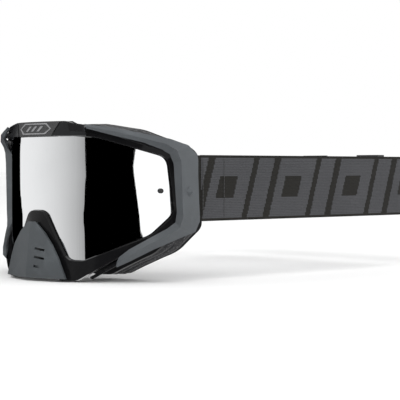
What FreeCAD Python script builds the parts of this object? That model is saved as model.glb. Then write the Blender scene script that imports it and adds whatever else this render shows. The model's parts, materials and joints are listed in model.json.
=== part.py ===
import FreeCAD, Part
import math
import os
import Sketcher
from FreeCAD import Vector

# Motocross goggles, in millimetres. +Z is up, -Y is straight ahead of the wearer, +X is the wearer's
# left. The origin lies midway between the wearer's eyes, on the face seat.

SIZES = {
    # the curved lens: an upright cylinder whose front is straight ahead of the face seat
    "lens_bend": (92.0, "bend radius of the lens's outer face"),
    "lens_ahead": (60.0, "how far the middle of the lens stands in front of the face seat"),
    "lens_thick": (1.6, "lens thickness"),
    "lens_tuck": (1.5, "how far the lens reaches in behind the bezel"),
    "lens_play": (0.3, "gap between the lens and each thing that holds it"),
    "width_pct": (100.0, "overall width, percent of the drawn size"),
    "height_pct": (100.0, "overall height, percent of the drawn size"),
    # the front of the frame
    "frame_drop": (1.9, "how far the frame's front rim sits behind the lens's outer face"),
    "wall": (2.0, "wall of the moulded shells and guard"),
    "fit_gap": (0.35, "gap between moulded parts that clip together"),
    "brow_rise": (2.05, "underside of the badge and brow panels above the lens, at mid height"),
    "brow_lean": (0.22, "how far the badge and brow panels lean back for each mm of height"),
    "brow_thick": (1.6, "badge and brow panel thickness"),
    # the face side
    "face_bend": (105.0, "bend radius of the surface that touches the face"),
    "face_back": (18.0, "how far the middle of that surface stands in front of the face seat"),
    "flange_thick": (2.5, "rear flange of the frame"),
    "firm_thick": (6.0, "firm foam layer"),
    "soft_thick": (7.0, "soft foam layer"),
    "fleece_thick": (1.4, "fleece layer against the skin"),
    "layer_gap": (0.2, "glue line between foam layers"),
    # strap and hardware
    "band_width": (45.0, "strap width"),
    "band_thick": (1.6, "strap thickness"),
    "fold_thick": (1.4, "thickness of a folded-back strap end"),
    "band_run": (200.0, "straight side run of the strap"),
    "band_flare": (5.0, "outward angle of the side run, degrees"),
    "band_corner": (24.0, "radius of the strap where it turns behind the head"),
    "band_clear": (0.3, "gap between the strap and the hardware beside it"),
    "pin_width": (3.0, "outrigger hinge pin diameter"),
    "pin_play": (0.06, "radial play of the outrigger on its pin"),
    "knuckle_width": (6.4, "outrigger knuckle diameter"),
    "pin_out": (86.6, "sideways distance of the hinge pins from the middle"),
    "pin_ahead": (4.0, "how far the hinge pins stand ahead of the face seat"),
    "arm_reach": (7.5, "hinge pin to strap bar"),
    "bar_thick": (2.4, "strap bars and outrigger plate thickness"),
    "bar_width": (3.2, "width of every bar the strap passes round"),
    "frame_rail": (1.9, "rails above and below the strap in the hardware"),
    "joiner_half": (10.5, "middle of the joiner to the middle of each of its bars"),
    "slider_half": (9.0, "middle of a slider to the middle of each outer bar"),
    "slider_place": (60.0, "middle of the joiner to the middle of a slider"),
    "post_width": (3.4, "tear-off post head diameter"),
    "post_neck": (2.2, "tear-off post neck diameter"),
    "post_rise": (3.2, "tear-off post height above the lens"),
    "post_arc": (92.2, "arc along the lens from its middle to a tear-off post"),
    "post_level": (-1.7, "height of the tear-off posts"),
    "peg_width": (2.4, "nose guard snap peg diameter"),
    "peg_play": (0.08, "radial play of the snap pegs in their sockets"),
    "peg_length": (3.2, "nose guard snap peg length"),
}

doc = FreeCAD.newDocument("Goggles")
sheet = doc.addObject("Spreadsheet::Sheet", "sizes")
for row, (name, (value, note)) in enumerate(SIZES.items(), start=1):
    sheet.set("A%d" % row, name)
    sheet.set("B%d" % row, str(value))
    sheet.setAlias("B%d" % row, name)
    sheet.set("C%d" % row, note)
doc.recompute()


class Cells:
    """Reads the sheet's numbers by name."""

    def __getattr__(self, name):
        return float(sheet.get(name))


size = Cells()
WIDE = size.width_pct / 100.0
TALL = size.height_pct / 100.0
LENS_BEND = size.lens_bend * WIDE
FACE_BEND = size.face_bend * WIDE
LENS_AXIS = LENS_BEND - size.lens_ahead
FACE_AXIS = FACE_BEND - size.face_back
PARTS = []


def keep(thing, node):
    """Names a finished sub-part and lists it for export."""
    thing.Label = node
    PARTS.append(thing)
    return thing


# ---------------------------------------------------------------- points on the two curved surfaces

def on_lens(along, height, lift):
    """A point at an arc length from the lens's middle, a height, and a lift off its outer face."""
    turn = along / size.lens_bend
    reach = LENS_BEND + lift
    return Vector(reach * math.sin(turn), LENS_AXIS - reach * math.cos(turn), height * TALL)


def on_face(across, height, lift):
    """A point a sideways distance from the middle, lifted forward off the surface that meets the face."""
    across = across * WIDE
    reach = FACE_BEND + lift
    return Vector(across, FACE_AXIS - math.sqrt(reach ** 2 - across ** 2), height * TALL)


# ---------------------------------------------------------------- outlines: half lists of corners
# Each corner is (sideways, height, rounding); the first and last are on the middle plane's side and the
# other half is the mirror image.

OPENING = [(26, 35.6, 30), (50, 33.6, 30), (96, 20.5, 9), (100.5, -17, 9), (85, -31, 20),
           (39.5, -48.6, 10), (28.2, -48.4, 9), (8, -15, 9)]
BEZEL_EDGE = [(26, 45.6, 14), (50, 39.0, 20), (99.6, 23.0, 8), (103.3, -22, 8), (86, -34, 20),
              (36, -62.4, 8), (23, -63.2, 4), (4.5, -25, 6)]
BEZEL_LIP = [2.6, 2.9, 3.4, 3.4, 3.0, 2.6, 2.6, 2.6]
BEZEL_RISE = [0.6, 1.8, 5.6, 5.5, 4.2, 4.4, 4.0, 4.0]
CUSHION = [(26, 44, 30), (50, 40, 30), (79, 27, 14), (80.5, -27.5, 12), (69.5, -43.5, 20),
           (40, -59.5, 9), (25, -59.5, 6), (6, -25, 8)]
CAVITY = [(25, 34.2, 30), (46, 32.6, 30), (72, 20.5, 12), (74.6, -21, 12), (64, -36, 16),
          (37, -49.5, 8), (30, -47, 6), (13, -15, 9)]
STEPS = 4


def grown(corners, by):
    """Corners pushed outward by a distance (inward when negative), keeping the outline's order."""
    full = mirrored(corners)
    count = len(full)
    moved = []
    for i in range(len(corners)):
        ax, ay, _ = full[i - 1]
        px, py, r = full[i]
        bx, by_, _ = full[(i + 1) % count]
        n1 = unit(-(py - ay), px - ax)
        n2 = unit(-(by_ - py), bx - px)
        share = by / (1.0 + n1[0] * n2[0] + n1[1] * n2[1])
        convex = (px - ax) * (by_ - py) - (py - ay) * (bx - px) < 0
        moved.append((px + share * (n1[0] + n2[0]), py + share * (n1[1] + n2[1]),
                      max(r + (by if convex else -by), 1.0)))
    return moved


def unit(a, b):
    length = math.hypot(a, b)
    return a / length, b / length


def mirrored(corners):
    return corners + [(-x, y, r) for x, y, r in reversed(corners)]


def rounded(corners, extra=None):
    """Splits a closed outline into corner runs and side runs of (sideways, height, extra) samples."""
    full = mirrored(corners)
    extra = extra or [0.0] * len(corners)
    values = extra + extra[::-1]
    count = len(full)
    bends = []
    for i, (px, py, r) in enumerate(full):
        ax, ay, _ = full[i - 1]
        bx, by, _ = full[(i + 1) % count]
        u = unit(ax - px, ay - py)
        v = unit(bx - px, by - py)
        half = math.acos(max(-1.0, min(1.0, u[0] * v[0] + u[1] * v[1]))) / 2.0
        cut = min(r / math.tan(half), 0.46 * math.hypot(ax - px, ay - py),
                  0.46 * math.hypot(bx - px, by - py))
        start = (px + u[0] * cut, py + u[1] * cut)
        end = (px + v[0] * cut, py + v[1] * cut)
        run = []
        for k in range(STEPS + 1):
            f = k / STEPS
            run.append(((1 - f) ** 2 * start[0] + 2 * f * (1 - f) * px + f * f * end[0],
                        (1 - f) ** 2 * start[1] + 2 * f * (1 - f) * py + f * f * end[1], values[i]))
        bends.append(run)
    runs = []
    for i, run in enumerate(bends):
        runs.append(run)
        a, b = run[-1], bends[(i + 1) % count][0]
        runs.append([tuple(a[c] + (b[c] - a[c]) * k / STEPS for c in range(3)) for k in range(STEPS + 1)])
    return runs


# ---------------------------------------------------------------- solids skinned over rails

def smooth_edge(points):
    curve = Part.BSplineCurve()
    curve.interpolate(points)
    return curve.toShape()


def lens_rail(corners, lift, extra=None):
    return [smooth_edge([on_lens(x, z, lift + e) for x, z, e in run]) for run in rounded(corners, extra)]


def face_rail(corners, lift):
    return [smooth_edge([on_face(x, z, lift) for x, z, _ in run]) for run in rounded(corners)]


def straight_rail(points):
    return [Part.makeLine(a, b) for a, b in zip(points, points[1:])]


def closed_solid(faces):
    skin = Part.Shell(faces)
    skin.sewShape()
    body = Part.Solid(skin)
    body.fix(1e-4, 1e-5, 1e-3)
    if body.Volume < 0:
        body.reverse()
    if not body.isValid():
        raise ValueError("a skinned solid is not closed")
    return body


def one_solid(shape):
    """The single solid inside a boolean's result."""
    return shape.Solids[0] if shape.Solids else closed_solid(shape.Faces)


def ring_solid(rails):
    """A closed ring: each rail is joined to the next by ruled faces, and the last to the first."""
    faces = []
    for one, two in zip(rails, rails[1:] + rails[:1]):
        faces += [Part.makeRuledSurface(a, b) for a, b in zip(one, two)]
    return closed_solid(faces)


def walled(rows, wall):
    """A folded wall: outer rows of points along its folds, and a parallel inner skin one wall behind."""
    count, last = len(rows[0]), len(rows) - 1
    inner = [[] for _ in rows]
    for k in range(count):
        ahead, behind = min(k + 1, count - 1), max(k - 1, 0)
        normals = []
        for one, two in zip(rows, rows[1:]):
            path = (one[ahead] + two[ahead]) - (one[behind] + two[behind])
            normals.append((two[k] - one[k]).cross(path).normalize())
        for i, row in enumerate(rows):
            near = [normals[max(i - 1, 0)], normals[min(i, last - 1)]]
            lean = near[0] + near[1]
            inner[i].append(row[k] - lean * (wall / (1.0 + near[0].dot(near[1]))))
    loop = rows + inner[::-1]
    faces = []
    for one, two in zip(loop, loop[1:] + loop[:1]):
        for a, b, c, d in zip(one, one[1:], two[1:], two):
            faces += [triangle(a, b, c), triangle(a, c, d)]
    for end in (0, -1):
        for i in range(last):
            a, b = rows[i][end], rows[i + 1][end]
            c, d = inner[i + 1][end], inner[i][end]
            faces += [triangle(a, b, c), triangle(a, c, d)]
    return closed_solid(faces)


def triangle(a, b, c):
    return Part.Face(Part.makePolygon([a, b, c, a]))


def computed(node, shape):
    piece = doc.addObject("Part::Feature", node)
    piece.Shape = shape
    piece.Placement = FreeCAD.Placement()
    return keep(piece, node)


def other_side(node, source):
    """The mirror image of a sub-part on the wearer's other side."""
    twin = doc.addObject("Part::Mirroring", node)
    twin.Source = source
    twin.Normal = Vector(1, 0, 0)
    twin.Base = Vector(0, 0, 0)
    return keep(twin, node)


# ---------------------------------------------------------------- lens, badge and brow panels

def bind(thing, **links):
    for prop, formula in links.items():
        thing.setExpression(prop, formula)
    return thing


BEND = "sizes.lens_bend * sizes.width_pct / 100"
BROW_MIDDLE = 41.0


def drum(name, radius_formula):
    """An upright cylinder about the lens's axis."""
    piece = doc.addObject("Part::Cylinder", name)
    bind(piece, Radius=radius_formula, Height="240 mm")
    piece.setExpression("Placement.Base.y", BEND + " - sizes.lens_ahead")
    piece.setExpression("Placement.Base.z", "-120")
    return piece


def leaning_drum(name, radius_formula):
    """A cone about the lens's axis that has the radius at the brow's mid height and narrows upward."""
    piece = doc.addObject("Part::Cone", name)
    bind(piece, Radius1=radius_formula + " + sizes.brow_lean * %s" % (120 + BROW_MIDDLE),
         Radius2=radius_formula + " - sizes.brow_lean * %s" % (120 - BROW_MIDDLE), Height="240 mm")
    piece.setExpression("Placement.Base.y", BEND + " - sizes.lens_ahead")
    piece.setExpression("Placement.Base.z", "-120")
    return piece


def radial_wedge(name, runs):
    """A wedge whose sides point at the lens's axis, from flat outlines of the runs on two planes."""
    sections = []
    for depth, tag in ((25.0, "near"), (LENS_BEND + 40.0, "far")):
        edges = []
        for run in runs:
            points = [Vector(depth * math.tan(x / size.lens_bend), LENS_AXIS - depth, z * TALL)
                      for x, z, _ in run]
            edges.append(smooth_edge(points) if len(points) > 2 else Part.makeLine(*points))
        section = doc.addObject("Part::Feature", "%s_%s" % (name, tag))
        section.Shape = Part.Wire(edges)
        sections.append(section)
    wedge = doc.addObject("Part::Loft", name + "_wedge")
    wedge.Sections = sections
    wedge.Solid = True
    wedge.Ruled = True
    return wedge


def curved_plate(node, runs, outer_formula, inner_formula, drum=drum):
    hollow = doc.addObject("Part::Cut", node + "_hoop")
    hollow.Base = drum(node + "_outer", outer_formula)
    hollow.Tool = drum(node + "_inner", inner_formula)
    plate = doc.addObject("Part::Common", node)
    plate.Base = hollow
    plate.Tool = radial_wedge(node, runs)
    return keep(plate, node)


def sides(corners):
    """Runs of a plain polygon."""
    return [[a + (0,), b + (0,)] for a, b in zip(corners, corners[1:] + corners[:1])]


lens = curved_plate("lens", rounded(grown(OPENING, size.lens_tuck)), BEND, BEND + " - sizes.lens_thick")

BROW_BASE = BEND + " + sizes.brow_rise"
BROW_TOP = BROW_BASE + " + sizes.brow_thick"
BADGE = [(22.4, 45.4), (16.6, 35.5), (-16.6, 35.5), (-22.4, 45.4)]
BROW_PANEL = [(23.6, 45.4), (41.0, 42.9), (43.2, 35.6), (17.8, 35.6)]
curved_plate("badge_plate", sides(BADGE), BROW_TOP, BROW_BASE, leaning_drum)
left_panel = curved_plate("left_brow_panel", sides(BROW_PANEL), BROW_TOP, BROW_BASE, leaning_drum)
other_side("right_brow_panel", left_panel)

# ---------------------------------------------------------------- bezel, face frame and cushions

TUCK = grown(OPENING, size.lens_tuck + 0.4)
SEAT = size.lens_play
STEP_DOWN = SEAT - size.frame_drop
bezel_ring = ring_solid([
    lens_rail(OPENING, SEAT),
    lens_rail(grown(OPENING, 0.7), 0.0, BEZEL_LIP),
    lens_rail(BEZEL_EDGE, 0.0, BEZEL_RISE),
    lens_rail(BEZEL_EDGE, STEP_DOWN),
    lens_rail(TUCK, STEP_DOWN),
    lens_rail(TUCK, SEAT)])
PEG_SPOTS = [(side * 24.0 * WIDE, -56.6 * TALL) for side in (1, -1)]
for x, z in PEG_SPOTS:
    socket = Part.makeCylinder(size.peg_width / 2 + size.peg_play, 60, Vector(x, -90, z), Vector(0, 1, 0))
    bezel_ring = bezel_ring.cut(socket)
computed("lens_bezel", one_solid(bezel_ring))

FLEECE_TOP = size.fleece_thick
SOFT_BASE = FLEECE_TOP + size.layer_gap
SOFT_TOP = SOFT_BASE + size.soft_thick
FIRM_BASE = SOFT_TOP + size.layer_gap
FIRM_TOP = FIRM_BASE + size.firm_thick
FLANGE_BASE = FIRM_TOP + size.layer_gap
FLANGE_TOP = FLANGE_BASE + size.flange_thick
WALL_FOOT = grown(CAVITY, 2.8)


def wall_point(run, step, down, lift):
    """A point on the frame's outer wall: along an outline run, part of the way back to the flange."""
    front_x, front_z, _ = rounded(BEZEL_EDGE)[run][step]
    back_x, back_z, _ = rounded(WALL_FOOT)[run][step]
    front = on_lens(front_x, front_z, -size.frame_drop)
    back = on_face(back_x, back_z, FLANGE_TOP)
    outward = Vector(0, 0, 1 if front_z > 0 else -1)
    return front + (back - front) * down + outward * lift


def wall_sheet(run, steps, down, lift, thick):
    """A sheet lying on the frame's outer wall."""
    rows = [[wall_point(run, k, f, lift) for k in steps] for f in down]
    sheet_solid = walled(rows, thick)
    return sheet_solid


TOP_RUN, BOTTOM_RUNS = -1, (9, 21)
frame = ring_solid([
    lens_rail(BEZEL_EDGE, -size.frame_drop),
    face_rail(WALL_FOOT, FLANGE_TOP),
    face_rail(CUSHION, FLANGE_TOP),
    face_rail(CUSHION, FLANGE_BASE),
    face_rail(CAVITY, FLANGE_BASE),
    lens_rail(OPENING, -size.frame_drop)])
for run in (TOP_RUN,) + BOTTOM_RUNS:
    for first in (0, 2):
        corners = []
        for lift in (-6, 6):
            corners.append([wall_point(run, first + k, f, lift)
                            for k, f in ((0, 0.3), (1, 0.3), (1, 0.62), (0, 0.62))])
        low, high = corners
        inset = []
        for level in corners:
            middle = (level[0] + level[1] + level[2] + level[3]) * 0.25
            inset.append([middle + (p - middle) * 0.8 for p in level])
        faces = []
        for level in inset:
            faces += [triangle(level[0], level[1], level[2]), triangle(level[0], level[2], level[3])]
        for i in range(4):
            a, b = inset[0][i], inset[0][(i + 1) % 4]
            c, d = inset[1][(i + 1) % 4], inset[1][i]
            faces += [triangle(a, b, c), triangle(a, c, d)]
        frame = frame.cut(closed_solid(faces))

EAR_LOW = size.band_width / 2 + size.frame_rail + 0.5
PIN_X = size.pin_out * WIDE
PIN_Y = -size.pin_ahead
for side in (1, -1):
    for level in (EAR_LOW, -EAR_LOW - 2.6):
        ear = Part.makeBox(PIN_X + 2.6 - 76.0 * WIDE, 5.2, 2.6, Vector(76.0 * WIDE, PIN_Y - 2.6, level))
        rib = Part.makeBox(13.0 * WIDE, 10.5, 2.6, Vector(70.0 * WIDE, PIN_Y - 9.0, level))
        behind = Part.makeCylinder(LENS_BEND - size.frame_drop, 10, Vector(0, LENS_AXIS, level - 3))
        ear = ear.fuse(rib.common(behind))
        ear = ear.cut(Part.makeCylinder(size.pin_width / 2, 10, Vector(PIN_X, PIN_Y, level - 3)))
        ear = ear.cut(Part.makeCylinder(FACE_BEND + FLANGE_BASE, 10, Vector(0, FACE_AXIS, level - 3)))
        if side < 0:
            ear = ear.mirror(Vector(0, 0, 0), Vector(1, 0, 0))
        frame = frame.fuse(ear)
computed("face_frame", one_solid(frame))

for node, top, base in (("firm_foam_layer", FIRM_TOP, FIRM_BASE), ("soft_foam_layer", SOFT_TOP, SOFT_BASE),
                        ("fleece_layer", FLEECE_TOP, 0.0)):
    computed(node, ring_solid([face_rail(CUSHION, top), face_rail(CUSHION, base),
                               face_rail(CAVITY, base), face_rail(CAVITY, top)]))

computed("top_vent_filter", wall_sheet(TOP_RUN, range(5), (0.85, 0.28), 2.7, 2.3))
left_filter = computed("left_vent_filter", wall_sheet(BOTTOM_RUNS[0], range(5), (0.85, 0.28), 4.2, 2.3))
other_side("right_vent_filter", left_filter)

# ---------------------------------------------------------------- side shells

LIP = [(43.6, 40.1, 4.9), (62, 35.2, 5.9), (80, 30.7, 6.9), (91.9, 25.9, 7.4), (96.7, 22.8, 7.6),
       (99, 16.7, 7.8), (101.1, -16, 7.8), (100.2, -22.6, 7.6), (95.4, -26.6, 6.9), (85.1, -32.4, 6.8),
       (71.6, -40.4, 6.8), (65, -45.7, 6.5)]
CREASE = [(43.1, 41.6, 5.4), (62.4, 37.9, 8.0), (80, 33.4, 11.0), (93.7, 29.4, 13.6), (99.3, 25.4, 15.2),
          (101.7, 18, 16.0), (102.8, -18.8, 16.0), (101.3, -25.8, 14.8), (96.2, -30.1, 12.2),
          (84.8, -36.5, 9.2), (71.4, -45, 7.7), (64, -49.9, 6.9)]
REAR = [(42.2, 43.2, 4.5), (62, 40.6, 5.8), (80, 36.7, 8), (97, 33, 9.5), (108.4, 28.9, 9),
        (115.9, 22.1, 6.1), (117.8, -22.4, 5.3), (114.3, -29.4, 6), (104, -33.3, 6.5), (86, -41.3, 5.6),
        (71.3, -49, 4.9), (63.3, -52.8, 4.4)]
left_shell = computed("left_side_shell", walled(
    [[on_lens(x, z, lift) for x, z, lift in row] for row in (REAR, CREASE, LIP)], size.wall))
other_side("right_side_shell", left_shell)

# ---------------------------------------------------------------- nose guard with its snap pegs

GUARD = [(-23.0, 4.2, -66.2, -67.2), (-30.0, 13.0, -65.9, -68.2), (-38.5, 20.4, -65.3, -69.2),
         (-47.0, 25.5, -64.2, -70.1), (-61.2, 32.1, -62.9, -71.4)]
GUARD_SET = 60.0 - size.lens_ahead
guard_rows = [[], [], [], [], []]
for z, half, edge, ridge in GUARD:
    for i, (share, depth) in enumerate(((1, 0), (0.5, 0.62), (0, 1), (-0.5, 0.62), (-1, 0))):
        guard_rows[i].append(Vector(half * WIDE * share, edge + (ridge - edge) * depth + GUARD_SET, z * TALL))
guard = walled(guard_rows, size.wall)
for level, length, reach in ((-41.7, 9.0, 30.0), (-47.5, 9.0, 30.0), (-53.5, 5.0, 16.9)):
    slot = Part.makeBox(length, reach, 1.6, Vector(-length / 2, -85 + GUARD_SET, -0.8))
    slot.rotate(Vector(0, 0, 0), Vector(0, 1, 0), 8)
    slot.translate(Vector((6.0 + length / 2) * WIDE, 0, level * TALL))
    guard = guard.cut(slot)
for x, z in PEG_SPOTS:
    tip = LENS_AXIS - math.sqrt((LENS_BEND + 4.2) ** 2 - x ** 2) + size.peg_length
    stem = Part.makeCylinder(size.peg_width / 2, tip + 63.4 - GUARD_SET, Vector(x, -63.4 + GUARD_SET, z),
                             Vector(0, 1, 0))
    guard = guard.fuse(stem)
computed("nose_guard", guard)

# ---------------------------------------------------------------- PartDesign helpers


def plane_of(body, role):
    return next(f for f in body.Origin.OriginFeatures if f.Role == role)


def sketch_on(body, name, role):
    sketch = body.newObject("Sketcher::SketchObject", name)
    sketch.AttachmentSupport = [(plane_of(body, role), "")]
    sketch.MapMode = "FlatFace"
    return sketch


def box_sketch(body, name, role, boxes):
    """A sketch of rectangles, each bound to formulas for its left, right, bottom and top."""
    sketch = sketch_on(body, name, role)
    for n, (left, right, bottom, top) in enumerate(boxes):
        x, y = 10.0 * n, 10.0 * n
        corners = [Vector(x, y, 0), Vector(x + 5, y, 0), Vector(x + 5, y + 5, 0), Vector(x, y + 5, 0)]
        first = sketch.GeometryCount
        for a, b in zip(corners, corners[1:] + corners[:1]):
            sketch.addGeometry(Part.LineSegment(a, b), False)
        for k in range(4):
            sketch.addConstraint(Sketcher.Constraint("Coincident", first + k, 2, first + (k + 1) % 4, 1))
        for k, way in enumerate(("Horizontal", "Vertical", "Horizontal", "Vertical")):
            sketch.addConstraint(Sketcher.Constraint(way, first + k))
        for way, line, end, formula in (("DistanceX", 0, 1, left), ("DistanceX", 1, 1, right),
                                        ("DistanceY", 0, 1, bottom), ("DistanceY", 2, 1, top)):
            start = {"DistanceX": x, "DistanceY": y}[way] + (5 if formula in (right, top) else 0)
            sketch.addConstraint(Sketcher.Constraint(way, -1, 1, first + line, end, start + 1.0))
            sketch.setExpression("Constraints[%d]" % (sketch.ConstraintCount - 1), formula)
    return sketch


def round_sketch(body, name, role, width_formula):
    sketch = sketch_on(body, name, role)
    sketch.addGeometry(Part.Circle(Vector(0, 0, 0), Vector(0, 0, 1), 2.0), False)
    sketch.addConstraint(Sketcher.Constraint("Coincident", 0, 3, -1, 1))
    sketch.addConstraint(Sketcher.Constraint("Diameter", 0, 4.0))
    sketch.setExpression("Constraints[1]", width_formula)
    return sketch


def pad(body, sketch, length_formula, name="Pad"):
    feature = body.newObject("PartDesign::Pad", name)
    feature.Profile = sketch
    feature.Midplane = True
    feature.setExpression("Length", length_formula)
    sketch.Visibility = False
    return feature


def pocket(body, sketch, length_formula, name="Pocket"):
    feature = body.newObject("PartDesign::Pocket", name)
    feature.Profile = sketch
    feature.Midplane = True
    feature.setExpression("Length", length_formula)
    sketch.Visibility = False
    return feature


def new_body(node):
    return keep(doc.addObject("PartDesign::Body", node), node)


def softened(body, radius, wanted):
    """Rounds a body's tall upright edges that pass a test on their plan position."""
    square = body.Tip
    names = ["Edge%d" % i for i, edge in enumerate(square.Shape.Edges, start=1)
             if edge.BoundBox.ZLength > size.band_width * 0.9 and wanted(edge.Vertexes[0].X, edge.Vertexes[0].Y)]
    rounding = body.newObject("PartDesign::Fillet", "RoundedBars")
    rounding.Base = (square, names)
    rounding.Radius = radius
    body.Tip = rounding


OPEN_TALL = "(sizes.band_width + 2 * sizes.band_clear)"
FULL_TALL = "(sizes.band_width + 2 * sizes.frame_rail)"

# ---------------------------------------------------------------- outriggers, their pins and strap ends


def outrigger(node, side):
    body = new_body(node)
    pad(body, round_sketch(body, node + "_knuckle", "XY_Plane", "sizes.knuckle_width"), FULL_TALL, "Knuckle")
    plate = box_sketch(body, node + "_plate", "XY_Plane", [
        ("-sizes.bar_thick / 2", "sizes.bar_thick / 2", "0", "sizes.arm_reach + sizes.bar_width / 2")])
    pad(body, plate, FULL_TALL, "Plate")
    bore = round_sketch(body, node + "_bore", "XY_Plane", "sizes.pin_width + 2 * sizes.pin_play")
    pocket(body, bore, FULL_TALL + " + 2", "Bore")
    slot = box_sketch(body, node + "_slot", "YZ_Plane", [
        ("sizes.knuckle_width / 2 + 0.3", "sizes.arm_reach - sizes.bar_width / 2",
         "-" + OPEN_TALL + " / 2", OPEN_TALL + " / 2")])
    pocket(body, slot, "12", "StrapSlot")
    doc.recompute()
    softened(body, 1.1, lambda x, y: abs(x) > 1 and y > size.arm_reach - 2.0)
    body.Placement = FreeCAD.Placement(Vector(side * PIN_X, PIN_Y, 0),
                                       FreeCAD.Rotation(Vector(0, 0, 1), -side * size.band_flare))
    return body


def strap_frame(side):
    """The placement of a side's strap: +Y runs back along it from the hinge pin."""
    return FreeCAD.Placement(Vector(side * PIN_X, PIN_Y, 0),
                             FreeCAD.Rotation(Vector(0, 0, 1), -side * size.band_flare))


def hoop_solid(inner, thick, arm, width):
    """A strip bent in a half turn about the upright axis, its two arms running toward +Y."""
    outer = inner + thick
    path = [Part.makeLine(Vector(outer, arm, 0), Vector(outer, 0, 0)),
            Part.Arc(Vector(outer, 0, 0), Vector(0, -outer, 0), Vector(-outer, 0, 0)).toShape(),
            Part.makeLine(Vector(-outer, 0, 0), Vector(-outer, arm, 0)),
            Part.makeLine(Vector(-outer, arm, 0), Vector(-inner, arm, 0)),
            Part.makeLine(Vector(-inner, arm, 0), Vector(-inner, 0, 0)),
            Part.Arc(Vector(-inner, 0, 0), Vector(0, -inner, 0), Vector(inner, 0, 0)).toShape(),
            Part.makeLine(Vector(inner, 0, 0), Vector(inner, arm, 0)),
            Part.makeLine(Vector(inner, arm, 0), Vector(outer, arm, 0))]
    face = Part.Face(Part.Wire(path))
    return face.extrude(Vector(0, 0, width)).transformGeometry(FreeCAD.Placement(
        Vector(0, 0, -width / 2), FreeCAD.Rotation()).toMatrix())


def placed(node, shape, place):
    """A computed sub-part that keeps its own placement."""
    piece = doc.addObject("Part::Feature", node)
    piece.Shape = shape
    piece.Placement = place
    return keep(piece, node)


HOOP_INNER = size.bar_thick / 2 + size.band_clear
HOOP_ARM = 4.4
for word, side in (("left", 1), ("right", -1)):
    outrigger(word + "_outrigger", side)
    pin = doc.addObject("Part::Cylinder", word + "_outrigger_pin")
    bind(pin, Radius="sizes.pin_width / 2", Height="sizes.band_width + 2 * sizes.frame_rail + 5.6")
    pin.setExpression("Placement.Base.x", "%d * sizes.pin_out * sizes.width_pct / 100" % side)
    pin.setExpression("Placement.Base.y", "-sizes.pin_ahead")
    pin.setExpression("Placement.Base.z", "-(sizes.band_width + 2 * sizes.frame_rail + 5.6) / 2")
    keep(pin, word + "_outrigger_pin")
    hoop = hoop_solid(HOOP_INNER, size.fold_thick, HOOP_ARM, size.band_width)
    at_bar = FreeCAD.Placement(Vector(0, size.arm_reach - 0.25, 0), FreeCAD.Rotation())
    placed(word + "_strap_end", hoop, strap_frame(side).multiply(at_bar))

# ---------------------------------------------------------------- strap bands

BAND_START = size.arm_reach - 0.25 + HOOP_ARM + 0.6
BAND_OUT = HOOP_INNER + size.fold_thick - size.band_thick / 2
WRAP_INNER = size.band_clear + size.fold_thick + size.band_clear + 0.4
FLARE = math.radians(size.band_flare)


def band_path():
    """Middle line of the left band in plan: start, side run's end, corner's middle and end."""
    along = Vector(math.sin(FLARE), math.cos(FLARE), 0)
    out = Vector(math.cos(FLARE), -math.sin(FLARE), 0)
    start = Vector(PIN_X, PIN_Y, 0) + along * BAND_START + out * BAND_OUT
    turn = start + along * size.band_run
    centre = turn - out * size.band_corner
    half = (math.pi / 2 - FLARE) / 2 + 0.0
    middle = centre + Vector(math.cos(half), math.sin(half), 0) * size.band_corner
    last = centre + Vector(0, size.band_corner, 0)
    return start, turn, middle, last, centre, out


START, TURN, MIDDLE, LAST, CORNER, OUT = band_path()
BACK_Y = LAST.y
WRAP_Y = BACK_Y + size.band_thick / 2 + WRAP_INNER


def band_solid():
    half = size.band_thick / 2
    far = size.joiner_half * WIDE
    tail_end = far + 5.6
    inner, outer = WRAP_INNER, WRAP_INNER + size.band_thick

    def pushed(point, by):
        return CORNER + (point - CORNER) * ((size.band_corner + by) / size.band_corner)

    edges = [Part.makeLine(START + OUT * half, TURN + OUT * half),
             Part.Arc(TURN + OUT * half, pushed(MIDDLE, half), pushed(LAST, half)).toShape(),
             Part.makeLine(pushed(LAST, half), Vector(far, BACK_Y + half, 0)),
             Part.Arc(Vector(far, BACK_Y + half, 0), Vector(far - inner, WRAP_Y, 0),
                      Vector(far, WRAP_Y + inner, 0)).toShape(),
             Part.makeLine(Vector(far, WRAP_Y + inner, 0), Vector(tail_end, WRAP_Y + inner, 0)),
             Part.makeLine(Vector(tail_end, WRAP_Y + inner, 0), Vector(tail_end, WRAP_Y + outer, 0)),
             Part.makeLine(Vector(tail_end, WRAP_Y + outer, 0), Vector(far, WRAP_Y + outer, 0)),
             Part.Arc(Vector(far, WRAP_Y + outer, 0), Vector(far - outer, WRAP_Y, 0),
                      Vector(far, BACK_Y - half, 0)).toShape(),
             Part.makeLine(Vector(far, BACK_Y - half, 0), pushed(LAST, -half)),
             Part.Arc(pushed(LAST, -half), pushed(MIDDLE, -half), TURN - OUT * half).toShape(),
             Part.makeLine(TURN - OUT * half, START - OUT * half),
             Part.makeLine(START - OUT * half, START + OUT * half)]
    return Part.Face(Part.Wire(edges))


band_profile = doc.addObject("Part::Feature", "band_profile")
band_profile.Shape = band_solid()
left_band = doc.addObject("Part::Extrusion", "left_band")
left_band.Base = band_profile
left_band.Dir = Vector(0, 0, 1)
left_band.Solid = True
left_band.Symmetric = True
left_band.setExpression("LengthFwd", "sizes.band_width")
keep(left_band, "left_band")
other_side("right_band", left_band)

FOLD_LENGTH = 24.0
for word, side in (("left", 1), ("right", -1)):
    fold = doc.addObject("Part::Box", word + "_stitched_fold")
    bind(fold, Length="sizes.fold_thick", Width="%s mm" % FOLD_LENGTH, Height="sizes.band_width - 2")
    place = strap_frame(side)
    inward = BAND_OUT - size.band_thick / 2 - size.layer_gap - size.fold_thick
    corner = inward if side > 0 else -inward - size.fold_thick
    fold.Placement = place.multiply(FreeCAD.Placement(
        Vector(corner, BAND_START, -size.band_width / 2 + 1), FreeCAD.Rotation()))
    keep(fold, word + "_stitched_fold")

# ---------------------------------------------------------------- back of the strap: joiner and sliders


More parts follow.
